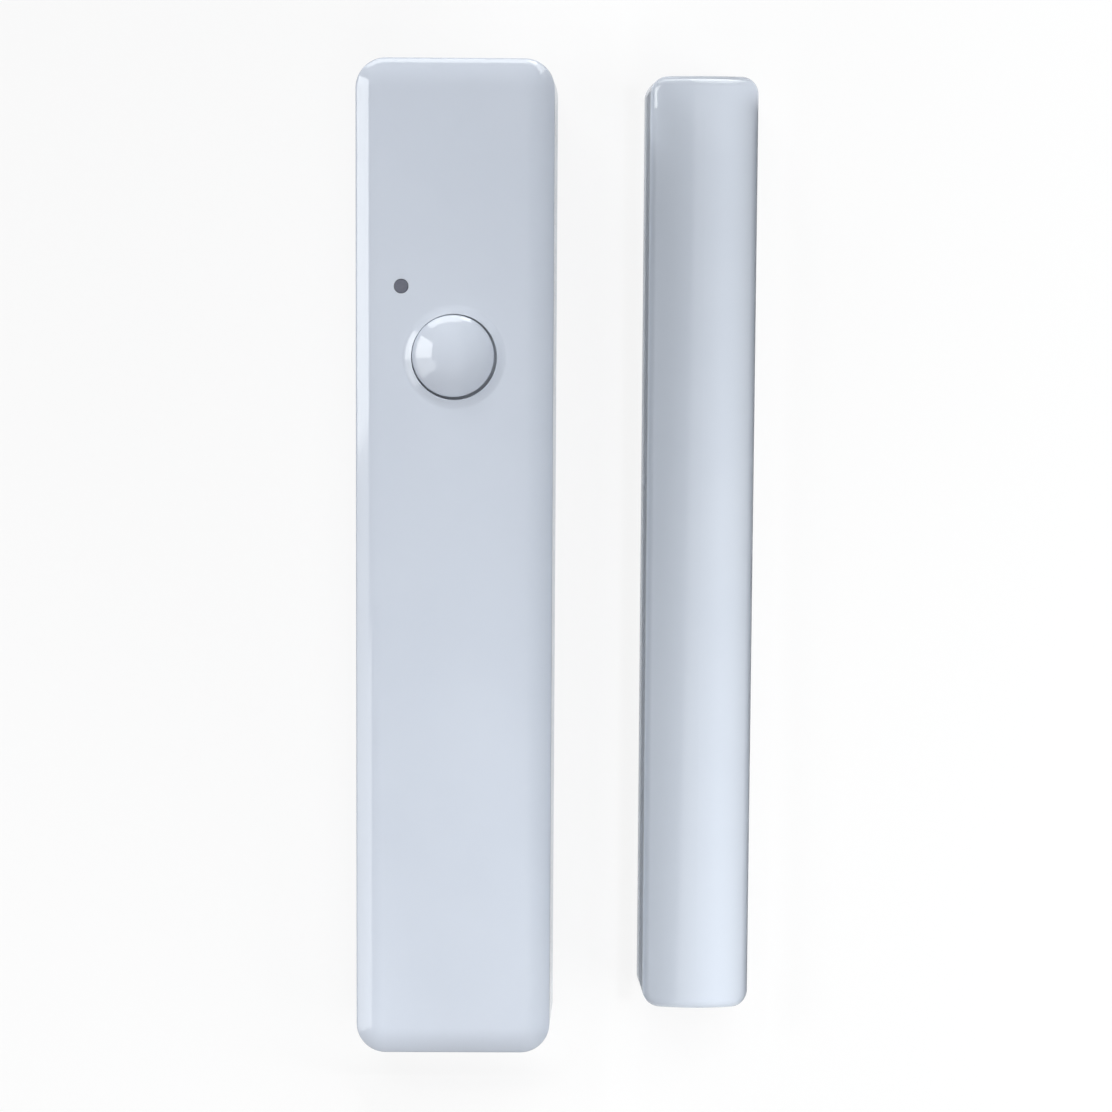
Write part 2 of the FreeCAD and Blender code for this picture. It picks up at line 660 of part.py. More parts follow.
# Front cover of the transmitter
def front_cover():
    """Drafted shell with a rounded edge, button guide, window boss, posts and cell ribs."""
    face_plan = (
        "dim.sensor_width + 2 * lay.edge_overhang",
        "dim.sensor_length + 2 * lay.edge_overhang",
        "dim.sensor_corner + lay.edge_overhang",
    )
    face_block = rounded_block("cover_face_block", face_plan, "0", "0", ("0", "lay.sensor_height"))
    walls = SENSOR.outline("walls", "0", ("dim.parting_height", "lay.sensor_height"), "dim.draft_angle")
    cavity_block = SENSOR.outline(
        "cavity_block", "dim.cover_wall", ("dim.parting_height", "lay.ceiling - dim.parting_height"),
        "dim.draft_angle",
    )
    doc.recompute()
    face_edges = level_edges(face_block.Shape, "lay.sensor_height")
    face_form = round_edges("cover_face_form", face_block, face_edges, "dim.edge_round")
    roof_edges = level_edges(cavity_block.Shape, "lay.ceiling")
    cavity = round_edges("cover_cavity", cavity_block, roof_edges, "dim.cavity_round")
    sharp_form = shared("cover_sharp_form", [face_form, walls])
    doc.recompute()
    crease_edges = level_edges(
        sharp_form.Shape, "dim.parting_height + dim.cover_wall", "lay.sensor_height - dim.crease_round",
    )
    form = round_edges("cover_form", sharp_form, crease_edges, "dim.crease_round")
    shell = cut("cover_shell", form, [cavity])

    into_roof = "dim.cover_wall / 2"
    inner = [
        rod("button_guide", "0", "lay.button_along",
            ("lay.ceiling - dim.guide_height", f"dim.guide_height + {into_roof}"),
            "lay.guide_bore + 2 * dim.guide_wall"),
        rod("window_boss", "dim.window_x", "lay.window_along",
            ("lay.ceiling - dim.pipe_flange_thick", f"dim.pipe_flange_thick + {into_roof}"),
            "dim.pipe_flange + 2 * (dim.pipe_gap + dim.pipe_boss_wall)"),
    ]
    for name, x, along in (
        ("right_hold_post", "lay.hold_post_x", "lay.right_post_along"),
        ("left_hold_post", "-lay.hold_post_x", "lay.left_post_along"),
    ):
        foot = "lay.board_top + dim.hold_gap"
        inner.append(rod(name, x, along, (foot, f"lay.ceiling + {into_roof} - ({foot})"), "dim.hold_post"))
    cell_room = lying_rod(
        "cover_cell_room", "lay.cell_x", ("lay.cell_low_end", "dim.cell_length"), "lay.cell_centre",
        "dim.cell_width + 2 * dim.hold_gap",
    )
    ribs = []
    for side in (-1, 1):
        foot = "lay.cell_centre + dim.cell_width / 4"
        ribs.append(block(
            f"cell_rib_{side + 1}",
            ("lay.cell_x", "dim.cell_width + dim.board_edge_gap"),
            (f"lay.cell_middle + {side} * dim.saddle_spacing / 2", "dim.saddle_wall"),
            (foot, f"lay.ceiling + {into_roof} - ({foot})"),
        ))
    inner.append(cut("cell_ribs", fuse("cell_rib_blocks", ribs), [cell_room]))
    inner_form = shared("cover_inner_form", [fuse("cover_inner", inner), form])
    hole_lip = cone(
        "hole_lip", "0", "lay.button_along", ("lay.sensor_height", "dim.hole_lip_rise"),
        "dim.button_hole + 2 * dim.hole_lip_width", "dim.button_hole + dim.hole_lip_rise",
    )
    whole = fuse("cover_whole", [shell, inner_form, hole_lip])
    openings = [
        rod("button_bore", "0", "lay.button_along",
            ("lay.ceiling - dim.cover_wall", "3 * dim.cover_wall"), "dim.button_hole"),
        rod("guide_bore", "0", "lay.button_along",
            ("lay.ceiling - 2 * dim.guide_height", "2 * dim.guide_height"), "lay.guide_bore"),
        rod("window_bore", "dim.window_x", "lay.window_along",
            ("lay.ceiling - dim.cover_wall", "3 * dim.cover_wall"), "dim.pipe_width + 2 * dim.pipe_gap"),
        rod("window_flange_bore", "dim.window_x", "lay.window_along",
            ("lay.ceiling - 2 * dim.pipe_flange_thick", "2 * dim.pipe_flange_thick"),
            "dim.pipe_flange + 2 * dim.pipe_gap"),
    ]
    return cut("cover_cut", whole, openings + snap_blocks(SENSOR, "recess", "dim.snap_gap"))


# Back plate of the transmitter
def back_plate():
    """Tray with a locating lip, board bosses, cell saddles, screw holes and the tamper opening."""
    bosses = []
    pilots = []
    for name, x, along, screwed in (
        ("upper_screw_boss", "lay.upper_screw_x", "lay.upper_screw_along", True),
        ("lower_screw_boss", "lay.lower_screw_x", "lay.lower_screw_along", True),
        ("right_rest_boss", "lay.hold_post_x", "lay.reed_along", False),
        ("left_rest_boss", "-lay.hold_post_x", "lay.left_post_along", False),
    ):
        width = "dim.boss_width" if screwed else "dim.hold_post"
        bosses.append(rod(name, x, along, ("lay.floor_top", "dim.board_stand"), width))
        if screwed:
            pilots.append(rod(
                f"{name}_pilot", x, along, ("lay.floor_top", "dim.board_stand"),
                "dim.board_screw + 2 * dim.screw_run",
            ))
    saddles = []
    left = f"(dim.lip_wall / 2 - {SENSOR.lip_face})"
    right = "(lay.strip_left - dim.board_edge_gap)"
    for side in (-1, 1):
        saddles.append(block(
            f"cell_saddle_{side + 1}",
            (f"({left} + {right}) / 2", f"{right} - {left}"),
            (f"lay.cell_middle + {side} * dim.saddle_spacing / 2", "dim.saddle_wall"),
            ("lay.floor_top", "dim.saddle_height"),
        ))
    cell_room = lying_rod(
        "plate_cell_room", "lay.cell_x", ("lay.cell_low_end", "dim.cell_length"), "lay.cell_centre",
        "dim.cell_width + 2 * dim.saddle_gap",
    )
    saddle_form = cut("cell_saddles", fuse("cell_saddle_blocks", saddles), [cell_room])
    whole = fuse("back_plate_whole", [plate_blank(SENSOR), saddle_form] + bosses)
    tamper_opening = rod(
        "tamper_opening", "lay.tamper_x", "lay.tamper_along", ("0", "dim.parting_height"),
        "dim.tamper_plunger + 2 * dim.tamper_back_gap",
    )
    openings = wall_screw_cuts(SENSOR, "dim.wall_screw_hole", "dim.wall_screw_end_room")
    recess = foam_recess(SENSOR, "lay.sensor_foam_width", "lay.sensor_foam_length")
    return cut("back_plate_cut", whole, openings + pilots + [tamper_opening, recess])


def sensor_foam():
    """Adhesive pad with an opening for the tamper plunger."""
    opening = rod(
        "foam_opening", "lay.tamper_x", "lay.tamper_along",
        ("-dim.foam_thickness", "3 * dim.foam_thickness"),
        "dim.tamper_plunger + 2 * dim.tamper_foam_gap",
    )
    blank = foam_blank(SENSOR, "lay.sensor_foam_width", "lay.sensor_foam_length")
    return cut("sensor_foam_cut", blank, [opening])


# Push button and the tact switch under it
def push_button():
    """Domed cap, hollow round its post, with a flange that keeps it under the cover."""
    cap = "lay.cap_width / 2"
    post = "dim.button_post / 2"
    flange = "dim.button_flange / 2"
    hollow = "lay.cap_width / 2 - dim.cap_wall"
    hollow_roof = "lay.sensor_height + dim.button_skirt - dim.button_rim_round"
    blank = turned_piece("button_blank", [
        ("0", "lay.stem_top"),
        (post, "lay.stem_top"),
        (post, hollow_roof),
        (hollow, hollow_roof),
        (hollow, "lay.flange_foot"),
        (flange, "lay.flange_foot"),
        (flange, "lay.flange_top"),
        (cap, "lay.flange_top"),
        (cap, "lay.dome_top"),
        ("0", "lay.dome_top"),
    ])
    place(blank, "lay.cap_x", "lay.cap_along", "0")
    dome = doc.addObject("Part::Sphere", "button_dome")
    bind(dome, {"Radius": "lay.dome_radius"})
    place(dome, "lay.cap_x", "lay.cap_along", "lay.dome_top - lay.dome_radius")
    domed = shared("button_domed", [blank, dome])
    doc.recompute()
    rim = "lay.sensor_height + dim.button_skirt"
    rim_edges = level_edges(domed.Shape, rim)
    return round_edges("button_form", domed, rim_edges, "dim.button_rim_round")


def tact_switch():
    """Base with its pocket, metal frame, moving stem and four terminals."""
    centre = ("0", "lay.button_along")
    stem_room = "dim.tact_stem + 2 * dim.tact_stem_gap"
    base = block(
        "tact_base", ("0", "dim.tact_side"), ("lay.button_along", "dim.tact_side"),
        ("lay.board_top", "dim.tact_base_height"),
    )
    pocket = rod(
        "tact_pocket", *centre, ("lay.tact_top - lay.tact_pocket", "2 * lay.tact_pocket"), stem_room,
    )
    plate = block(
        "tact_plate", ("0", "dim.tact_side"), ("lay.button_along", "dim.tact_side"),
        ("lay.tact_top", "dim.tact_frame_thick"),
    )
    opening = rod(
        "tact_frame_hole", *centre,
        ("lay.tact_top - dim.tact_frame_thick", "3 * dim.tact_frame_thick"), stem_room,
    )
    stem = rod(
        "tact_stem", *centre, ("lay.stem_foot", "lay.stem_top - lay.stem_foot"), "dim.tact_stem",
    )
    legs = []
    for side in (-1, 1):
        for end in (-1, 1):
            legs.append(block(
                f"tact_leg_{side + 1}_{end + 1}",
                (f"{side} * (dim.tact_side + dim.tact_leg_reach) / 2", "dim.tact_leg_reach"),
                (f"lay.button_along + {end} * dim.tact_leg_spacing / 2", "dim.tact_leg_width"),
                ("lay.board_top", "dim.tact_leg_thick"),
            ))
    terminals = doc.addObject("Part::Compound", "tact_terminals")
    terminals.Links = legs
    piece("tact_switch_body", cut("tact_base_cut", base, [pocket]))
    piece("tact_switch_frame", cut("tact_frame_cut", plate, [opening]))
    piece("tact_switch_stem", stem)
    piece("tact_switch_terminals", terminals)


def light_window():
    """Light pipe with its flange under the cover, and the light below it."""
    narrow = "dim.pipe_width / 2"
    wide = "dim.pipe_flange / 2"
    flange_foot = "lay.ceiling - dim.pipe_flange_thick"
    pipe = turned_piece("pipe_blank", [
        ("0", "lay.pipe_foot"),
        (narrow, "lay.pipe_foot"),
        (narrow, flange_foot),
        (wide, flange_foot),
        (wide, "lay.ceiling"),
        (narrow, "lay.ceiling"),
        (narrow, "lay.sensor_height"),
        ("0", "lay.sensor_height"),
    ])
    led = block(
        "led_block", ("dim.window_x", "dim.led_length"), ("lay.window_along", "dim.led_width"),
        ("lay.board_top", "dim.led_height"),
    )
    piece("light_pipe", place(pipe, "dim.window_x", "lay.window_along", "0"))
    piece("status_led", led)


# Circuit board and what is soldered to it
def circuit_board():
    """L-shaped board: full width above the cell, a narrow strip beside it."""
    left = "-lay.board_edge"
    right = "lay.board_edge"
    blank = outlined_plate("board_blank", [
        ("lay.strip_left", "lay.board_low_end"),
        (right, "lay.board_low_end"),
        (right, "lay.board_top_end"),
        (left, "lay.board_top_end"),
        (left, "lay.board_step"),
        ("lay.strip_left", "lay.board_step"),
    ], ("lay.board_foot", "dim.board_thick"))
    holes = []
    for name in ("upper", "lower"):
        holes.append(rod(
            f"board_hole_{name}", f"lay.{name}_screw_x", f"lay.{name}_screw_along",
            ("lay.board_foot - dim.board_thick", "3 * dim.board_thick"),
            "dim.board_screw + 2 * dim.board_hole_gap",
        ))
    return cut("board_cut", blank, holes)


def board_screw(name):
    """Pan-head screw through the board into its boss, with a slot across the head."""
    shank = "dim.board_screw / 2"
    head = "dim.board_screw_head / 2"
    tip = "lay.board_top - dim.board_screw_length"
    top = "lay.board_top + dim.board_screw_head_height"
    blank = turned_piece(f"{name}_screw_blank", [
        ("0", tip),
        (shank, f"{tip} + {shank}"),
        (shank, "lay.board_top"),
        (head, "lay.board_top"),
        (head, f"{top} - dim.board_screw_head_height / 3"),
        ("dim.board_screw_crown / 2", top),
        ("0", top),
    ])
    x = f"lay.{name}_screw_x"
    along = f"lay.{name}_screw_along"
    slots = [
        block(f"{name}_slot_across", (x, "dim.board_screw"), (along, "dim.board_screw_slot / 2"),
              (f"{top} - dim.board_screw_slot", "2 * dim.board_screw_slot")),
        block(f"{name}_slot_along", (x, "dim.board_screw_slot / 2"), (along, "dim.board_screw"),
              (f"{top} - dim.board_screw_slot", "2 * dim.board_screw_slot")),
    ]
    return cut(f"{name}_screw_cut", place(blank, x, along, "0"), slots)


def soldered_parts():
    """Controller, radio shield, crystal, inductor and storage capacitor."""
    chip = block(
        "chip_block", ("lay.chip_x", "dim.chip_side"), ("lay.chip_along", "dim.chip_side"),
        ("lay.board_top", "dim.chip_height"),
    )
    corner = "dim.chip_side / 2 - dim.chip_mark"
    mark = rod(
        "chip_mark", f"lay.chip_x - ({corner})", f"lay.chip_along + {corner}",
        ("lay.board_top + dim.chip_height - dim.chip_mark_depth", "dim.chip_height"), "dim.chip_mark",
    )
    can = block(
        "shield_can", ("dim.shield_x", "dim.shield_width"), ("lay.shield_along", "dim.shield_length"),
        ("lay.board_top", "dim.shield_height"),
    )
    can_room = block(
        "shield_room", ("dim.shield_x", "dim.shield_width - 2 * dim.shield_wall"),
        ("lay.shield_along", "dim.shield_length - 2 * dim.shield_wall"),
        ("lay.board_top - dim.shield_wall", "dim.shield_height"),
    )
    crystal = block(
        "crystal_block", ("lay.crystal_x", "dim.crystal_width"),
        ("lay.crystal_along", "dim.crystal_length"), ("lay.board_top", "dim.crystal_height"),
    )
    inductor = block(
        "inductor_block", ("lay.inductor_x", "dim.inductor_side"),
        ("lay.inductor_along", "dim.inductor_side"), ("lay.board_top", "dim.inductor_height"),
    )
    capacitor_foot = block(
        "capacitor_foot", ("lay.strip_middle", "dim.capacitor_width"),
        ("lay.capacitor_along", "dim.capacitor_width"), ("lay.board_top", "dim.capacitor_base"),
    )
    capacitor_can = rod(
        "capacitor_can", "lay.strip_middle", "lay.capacitor_along",
        ("lay.board_top", "dim.capacitor_height"), "dim.capacitor_width - dim.capacitor_rim",
    )
    doc.recompute()
    posts = [number for number, edge in enumerate(inductor.Shape.Edges, start=1)
             if edge.BoundBox.ZLength > TOUCH]
    piece("microcontroller", cut("chip_cut", chip, [mark]))
    piece("radio_shield", cut("shield_cut", can, [can_room]))
    piece("crystal", crystal)
    piece("boost_inductor", chamfer_edges("inductor_form", inductor, posts, "dim.inductor_chamfer"))
    piece("storage_capacitor", fuse("capacitor_form", [capacitor_foot, capacitor_can]))


def antenna_coil():
    """Wire coil lying across the board, its two ends bent down to the board."""
    start = ("-lay.coil_length / 2", "-dim.coil_width / 2")
    winding = coil("antenna_winding", "H_Axis", start, "dim.coil_wire", "dim.coil_pitch", "dim.coil_turns")
    place(winding, "0", "lay.coil_along", "lay.coil_centre")
    legs = []
    for side in (-1, 1):
        legs.append(rod(
            f"antenna_leg_{side + 1}", f"{side} * lay.coil_length / 2", "lay.coil_along",
            ("lay.board_top", "lay.coil_centre - dim.coil_width / 2 - lay.board_top"), "dim.coil_wire",
        ))
    return fuse("antenna_form", [winding] + legs)


def reed_switch():
    """Glass tube with two overlapping blades; each blade's lead bends down to the board."""
    inner_end = "(dim.reed_glass_length / 2 - dim.reed_glass_end)"
    tube = lying_rod(
        "reed_tube", "lay.reed_x",
        ("lay.reed_along - dim.reed_glass_length / 2", "dim.reed_glass_length"),
        "lay.reed_axis", "dim.reed_glass_width",
    )
    room = lying_rod(
        "reed_room", "lay.reed_x", (f"lay.reed_along - {inner_end}", f"2 * {inner_end}"),
        "lay.reed_axis", "dim.reed_glass_width - 2 * dim.reed_glass_wall",
    )
    lead_bore = lying_rod(
        "reed_lead_bore", "lay.reed_x",
        ("lay.reed_along - dim.reed_glass_length", "2 * dim.reed_glass_length"),
        "lay.reed_axis", "dim.reed_lead",
    )
    glass = cut("reed_glass_cut", tube, [room, lead_bore])
    blades = {}
    for name, side in (("lower", -1), ("upper", 1)):
        reach = "(dim.reed_glass_length / 2 + dim.reed_lead_reach)"
        lead_length = f"({reach} - {inner_end} + dim.reed_lead)"
        lead_middle = f"lay.reed_along + {side} * ({reach} - {lead_length} / 2)"
        lead = lying_rod(
            f"reed_lead_{name}", "lay.reed_x", (f"{lead_middle} - {lead_length} / 2", lead_length),
            "lay.reed_axis", "dim.reed_lead",
        )
        leg = rod(
            f"reed_leg_{name}", "lay.reed_x", f"lay.reed_along + {side} * ({reach} - dim.reed_lead)",
            ("lay.board_top", "lay.reed_axis - lay.board_top"), "dim.reed_lead",
        )
        blade_length = f"({inner_end} + dim.reed_overlap / 2)"
        lift = f"{side} * (dim.reed_contact_gap + dim.reed_blade_thick) / 2"
        blade = block(
            f"reed_tongue_{name}", ("lay.reed_x", "dim.reed_blade_width"),
            (f"lay.reed_along + {side} * ({inner_end} - {blade_length} / 2)", blade_length),
            (f"lay.reed_axis + {lift} - dim.reed_blade_thick / 2", "dim.reed_blade_thick"),
        )
        blades[name] = fuse(f"reed_blade_form_{name}", [lead, leg, blade])
    piece("reed_glass", glass)
    piece("reed_blade_lower", blades["lower"])
    piece("reed_blade_upper", blades["upper"])


# Battery and its contacts
def battery():
    """One AAA cell lying beside the board strip, its positive nub towards the board."""
    wide = "dim.cell_width / 2"
    edge = "dim.cell_edge_round"
    body = turned_piece("cell_body", [
        ("0", "0"),
        (f"{wide} - {edge}", "0"),
        (wide, edge),
        (wide, f"lay.cell_body_length - {edge}"),
        (f"{wide} - {edge}", "lay.cell_body_length"),
        ("dim.cell_nub / 2", "lay.cell_body_length"),
        ("dim.cell_nub / 2", "dim.cell_length"),
        ("0", "dim.cell_length"),
    ])
    return place(lay_along_y(body), "lay.cell_x", "lay.cell_low_end", "lay.cell_centre")


def cell_contact(name, plate_along, foot_x, foot_width, foot_along):
    """Sheet-metal contact: an upright plate behind the cell and a foot on the board."""
    plate = block(
        f"{name}_plate", ("lay.cell_x", "dim.contact_width"),
        (f"{plate_along} + dim.contact_thick / 2", "dim.contact_thick"),
        ("lay.contact_foot", "dim.contact_height"),
    )
    foot = block(
        f"{name}_foot", (foot_x, foot_width),
        (foot_along, "dim.contact_foot_reach"),
        ("lay.board_top", "dim.contact_thick"),
    )
    return fuse(f"{name}_form", [plate, foot])


def cell_contacts():
    """Positive leaf, negative plate and its spring."""
    positive = cell_contact(
        "positive", "lay.cell_top_end", "lay.cell_x", "dim.contact_foot_width",
        "lay.cell_top_end + dim.contact_foot_reach / 2",
    )
    leg_middle = "lay.cell_x + dim.contact_width / 2 - dim.contact_thick + dim.contact_leg_reach / 2"
    negative = cell_contact(
        "negative", "lay.negative_plate", leg_middle, "dim.contact_leg_reach",
        "lay.negative_plate + dim.contact_foot_reach / 2",
    )
    spring = coil(
        "cell_spring", "V_Axis", ("(dim.spring_width - dim.spring_wire) / 2", "dim.spring_wire / 2"),
        "dim.spring_wire", "(dim.spring_length - dim.spring_wire) / dim.spring_turns", "dim.spring_turns",
    )
    place(lay_along_y(spring), "lay.cell_x", "lay.negative_plate + dim.contact_thick", "lay.cell_centre")
    piece("positive_contact", positive)
    piece("negative_contact", negative)
    piece("battery_spring", spring)


# Tamper switch under the board
def tamper_switch():
    """Switch body with the pocket that traps the plunger's collar, and the plunger, pressed in."""
    centre = ("lay.tamper_x", "lay.tamper_along")
    body = block(
        "tamper_block", ("lay.tamper_x", "dim.tamper_side"), ("lay.tamper_along", "dim.tamper_side"),
        ("lay.tamper_foot", "lay.board_foot - lay.tamper_foot"),
    )
    pocket = rod(
        "tamper_pocket", *centre, ("lay.tamper_pocket_foot", "lay.tamper_pocket_depth"),
        "dim.tamper_collar + 2 * dim.tamper_collar_gap",
    )
    bore = rod(
        "tamper_bore", *centre, ("lay.tamper_foot - dim.tamper_floor", "3 * dim.tamper_floor"),
        "dim.tamper_plunger + 2 * dim.tamper_run",
    )
    slim = "dim.tamper_plunger / 2"
    wide = "dim.tamper_collar / 2"
    collar_top = "lay.tamper_collar_foot + dim.tamper_collar_height"
    plunger = turned_piece("tamper_pin", [
        ("0", "0"),
        (f"{slim} - dim.tamper_tip_round", "0"),
        (slim, "dim.tamper_tip_round"),
        (slim, "lay.tamper_collar_foot"),
        (wide, "lay.tamper_collar_foot"),
        (wide, collar_top),
        ("0", collar_top),
    ])
    piece("tamper_switch_body", cut("tamper_cut", body, [pocket, bore]))
    piece("tamper_plunger", place(plunger, *centre, "0"))


# Magnet unit
def magnet_cover():
    """Narrow drafted shell, crowned across its width, with ribs that hold the magnet down."""
    long_enough = "2 * dim.magnet_length"
    crown = lying_rod(
        "magnet_crown_rod", MAGNET.x, (f"{MAGNET.y} - dim.magnet_length", long_enough),
        "dim.magnet_height - dim.magnet_crown", "2 * dim.magnet_crown",
    )
    tall = ("dim.parting_height", "dim.magnet_height")
    walls = MAGNET.outline("walls", "0", tall, "dim.draft_angle")
    sharp_form = shared("magnet_sharp_form", [crown, walls])
    inner_crown = lying_rod(
        "magnet_inner_crown", MAGNET.x, (f"{MAGNET.y} - dim.magnet_length", long_enough),
        "dim.magnet_height - dim.magnet_crown", "2 * (dim.magnet_crown - dim.magnet_wall)",
    )
    inner_walls = MAGNET.outline("inner_walls", "dim.magnet_wall", tall, "dim.draft_angle")
    cavity = shared("magnet_cavity", [inner_crown, inner_walls])
    doc.recompute()
    numbers = []
    crown_face = max(sharp_form.Shape.Faces, key=lambda face: face.CenterOfMass.z)
    for number, edge in enumerate(sharp_form.Shape.Edges, start=1):
        if any(edge.isSame(other) for other in crown_face.Edges):
            numbers.append(number)
    form = round_edges("magnet_form", sharp_form, numbers, "dim.magnet_edge_round")
    shell = cut("magnet_shell", form, [cavity])
    ribs = []
    for side in (-1, 1):
        foot = "lay.bar_top + dim.hold_gap"
        ribs.append(block(
            f"magnet_rib_{side + 1}", (MAGNET.x, "dim.magnet_width"),
            (f"lay.reed_along + {side} * dim.bar_length / 4", "dim.saddle_wall"),
            (foot, f"dim.magnet_height - ({foot})"),
        ))
    rib_form = shared("magnet_rib_form", [fuse("magnet_ribs", ribs), form])
    whole = fuse("magnet_cover_whole", [shell, rib_form])
    return cut("magnet_cover_cut", whole, snap_blocks(MAGNET, "recess", "dim.snap_gap"))


def magnet_plate():
    """Back plate with two stops that keep the magnet beside the reed switch."""
    stops = []
    for side in (-1, 1):
        stops.append(block(
            f"magnet_stop_{side + 1}",
            (MAGNET.x, f"2 * ({MAGNET.lip_face} - dim.lip_wall / 2)"),
            (f"lay.reed_along + {side} * ((dim.bar_length + dim.stop_thick) / 2 + dim.bar_gap)",
             "dim.stop_thick"),
            ("lay.floor_top", "dim.stop_height"),
        ))
    whole = fuse("magnet_plate_whole", [plate_blank(MAGNET)] + stops)
    openings = wall_screw_cuts(MAGNET, "dim.magnet_screw_hole", "dim.magnet_screw_end_room")
    recess = foam_recess(MAGNET, "lay.magnet_foam_width", "lay.magnet_foam_length")
    return cut("magnet_plate_cut", whole, openings + [recess])


def bar_magnet():
    """Plain bar magnet with broken edges."""
    bar = block(
        "bar_block", (MAGNET.x, "dim.bar_width"), ("lay.reed_along", "dim.bar_length"),
        ("lay.floor_top", "dim.bar_height"),
    )
    doc.recompute()
    numbers = range(1, len(bar.Shape.Edges) + 1)
    return chamfer_edges("bar_form", bar, numbers, "dim.bar_chamfer")


# The sub-parts in order, from the front of the transmitter to the magnet unit
piece("front_cover", front_cover())
piece("push_button", push_button())
tact_switch()
light_window()
piece("circuit_board", circuit_board())
soldered_parts()
piece("antenna_coil", antenna_coil())
reed_switch()
piece("battery", battery())
cell_contacts()
tamper_switch()
piece("board_screw_upper", board_screw("upper"))
piece("board_screw_lower", board_screw("lower"))
piece("back_plate", back_plate())
piece("sensor_adhesive_pad", sensor_foam())
piece("magnet_cover", magnet_cover())
piece("bar_magnet", bar_magnet())
piece("magnet_back_plate", magnet_plate())
piece("magnet_adhesive_pad", foam_blank(MAGNET, "lay.magnet_foam_width", "lay.magnet_foam_length"))
doc.recompute()

# Every object has to be sound, every cut has to remove something, and every sub-part has to be solid
for item in doc.Objects:
    if "Invalid" in item.State or "Error" in item.State:
        raise RuntimeError(f"{item.Name} failed: {item.State}")
    if item.TypeId == "Part::Cut" and item.Base.Shape.Volume - item.Shape.Volume < 0.001:
        raise RuntimeError(f"{item.Name} removes nothing")
for item in PIECES:
    if item.Shape.isNull() or not item.Shape.isValid() or item.Shape.Volume <= 0:
        raise RuntimeError(f"{item.Label} has no sound shape")

os.makedirs("parts", exist_ok=True)
for item in PIECES:
    item.Shape.exportStep(f"parts/{item.Label}.step")
    print(item.Label, len(item.Shape.Solids), round(item.Shape.Volume, 2))
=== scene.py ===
import math

import bmesh
import bpy
from mathutils import Matrix, Vector


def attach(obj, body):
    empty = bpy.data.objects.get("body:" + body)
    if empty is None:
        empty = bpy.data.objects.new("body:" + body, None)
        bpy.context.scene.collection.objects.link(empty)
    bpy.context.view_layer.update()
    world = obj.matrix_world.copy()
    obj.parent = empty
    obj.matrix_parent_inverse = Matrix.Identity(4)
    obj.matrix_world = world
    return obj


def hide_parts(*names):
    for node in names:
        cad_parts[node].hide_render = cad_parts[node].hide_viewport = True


# Looks of the wireless door contact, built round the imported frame
# The numbers for shapes are millimetres in the row frame; MM turns them into metres
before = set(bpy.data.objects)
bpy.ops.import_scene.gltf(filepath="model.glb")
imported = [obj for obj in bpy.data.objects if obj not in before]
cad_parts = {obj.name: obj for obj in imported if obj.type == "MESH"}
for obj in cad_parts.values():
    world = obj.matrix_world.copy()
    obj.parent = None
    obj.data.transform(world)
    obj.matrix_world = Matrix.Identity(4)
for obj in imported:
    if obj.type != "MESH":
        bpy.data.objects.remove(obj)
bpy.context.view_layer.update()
MM = 0.001
DRAFT = math.radians(2.5)
SHARP_ANGLE = math.radians(34)
PARTING = 2.4

# Transmitter housing
SENSOR_HALF = (12.05, 59.5)
SENSOR_CORNER = 4.0
FACE = 14.2
CEILING = 12.8
EDGE_ROUND = 5.1
EDGE_BAND = 3.8
CREASE = 0.5
BUTTON_HOLE = 5.0
BUTTON_AT = (0.0, 24.4)
CAP_AT = (-0.14, 24.54)
WINDOW_AT = (-6.2, 32.6)
WINDOW_HOLE = 0.85

# Magnet unit, with a crown of a large radius across its top
MAGNET_AT = (29.2, 1.7)
MAGNET_HALF = (6.7, 56.0)
MAGNET_CORNER = 2.4
MAGNET_ROUND = 1.3
CROWN = 15.0
MAGNET_TOP = 12.4
CROWN_AXIS = MAGNET_TOP - CROWN

# How near a CAD vertex lies to a level, a hole's wall or a unit's outer skin to count as part of it
ON_LEVEL = 0.02
ON_HOLE = 0.14
ON_SENSOR = 0.25
ON_MAGNET = 0.62


# Shapes
def outline(half, corner, corner_steps, end_steps, side_steps):
    """Rounded rectangle round the origin, anticlockwise from the right side.

    Each point comes with its outward direction.
    """
    points = []
    straight = (side_steps, end_steps, side_steps, end_steps)
    centres = [Vector((sign_x * (half[0] - corner), sign_y * (half[1] - corner)))
               for sign_x, sign_y in ((1, 1), (-1, 1), (-1, -1), (1, -1))]
    for quarter, centre in enumerate(centres):
        start = quarter * math.pi / 2
        for step in range(corner_steps + 1):
            angle = start + step / corner_steps * math.pi / 2
            out = Vector((math.cos(angle), math.sin(angle)))
            points.append((centre + corner * out, out))
        following = (quarter + 1) % 4
        far = centres[following] + corner * out
        near = points[-1][0]
        pieces = straight[following]
        for step in range(1, pieces):
            points.append((near.lerp(far, step / pieces), out))
    return points


def add_ring(form, points):
    """Vertices of one ring, from points in millimetres."""
    return [form.verts.new(Vector(point) * MM) for point in points]


def add_circle(form, centre, radius, height, steps):
    """A level ring of vertices."""
    return add_ring(form, [
        (centre[0] + radius * math.cos(math.tau * step / steps),
         centre[1] + radius * math.sin(math.tau * step / steps), height)
        for step in range(steps)
    ])


def bridge(form, lower, upper):
    """Quads between two rings with the same number of vertices."""
    count = len(lower)
    for index in range(count):
        after = (index + 1) % count
        form.faces.new((lower[index], lower[after], upper[after], upper[index]))


def join_rings(form, rings):
    """Quads from each ring to the next."""
    for lower, upper in zip(rings, rings[1:]):
        bridge(form, lower, upper)


def ring_edges(form, ring):
    """The edges round a ring."""
    pairs = [(ring[index - 1], ring[index]) for index in range(len(ring))]
    return [form.edges.get(pair) or form.edges.new(pair) for pair in pairs]


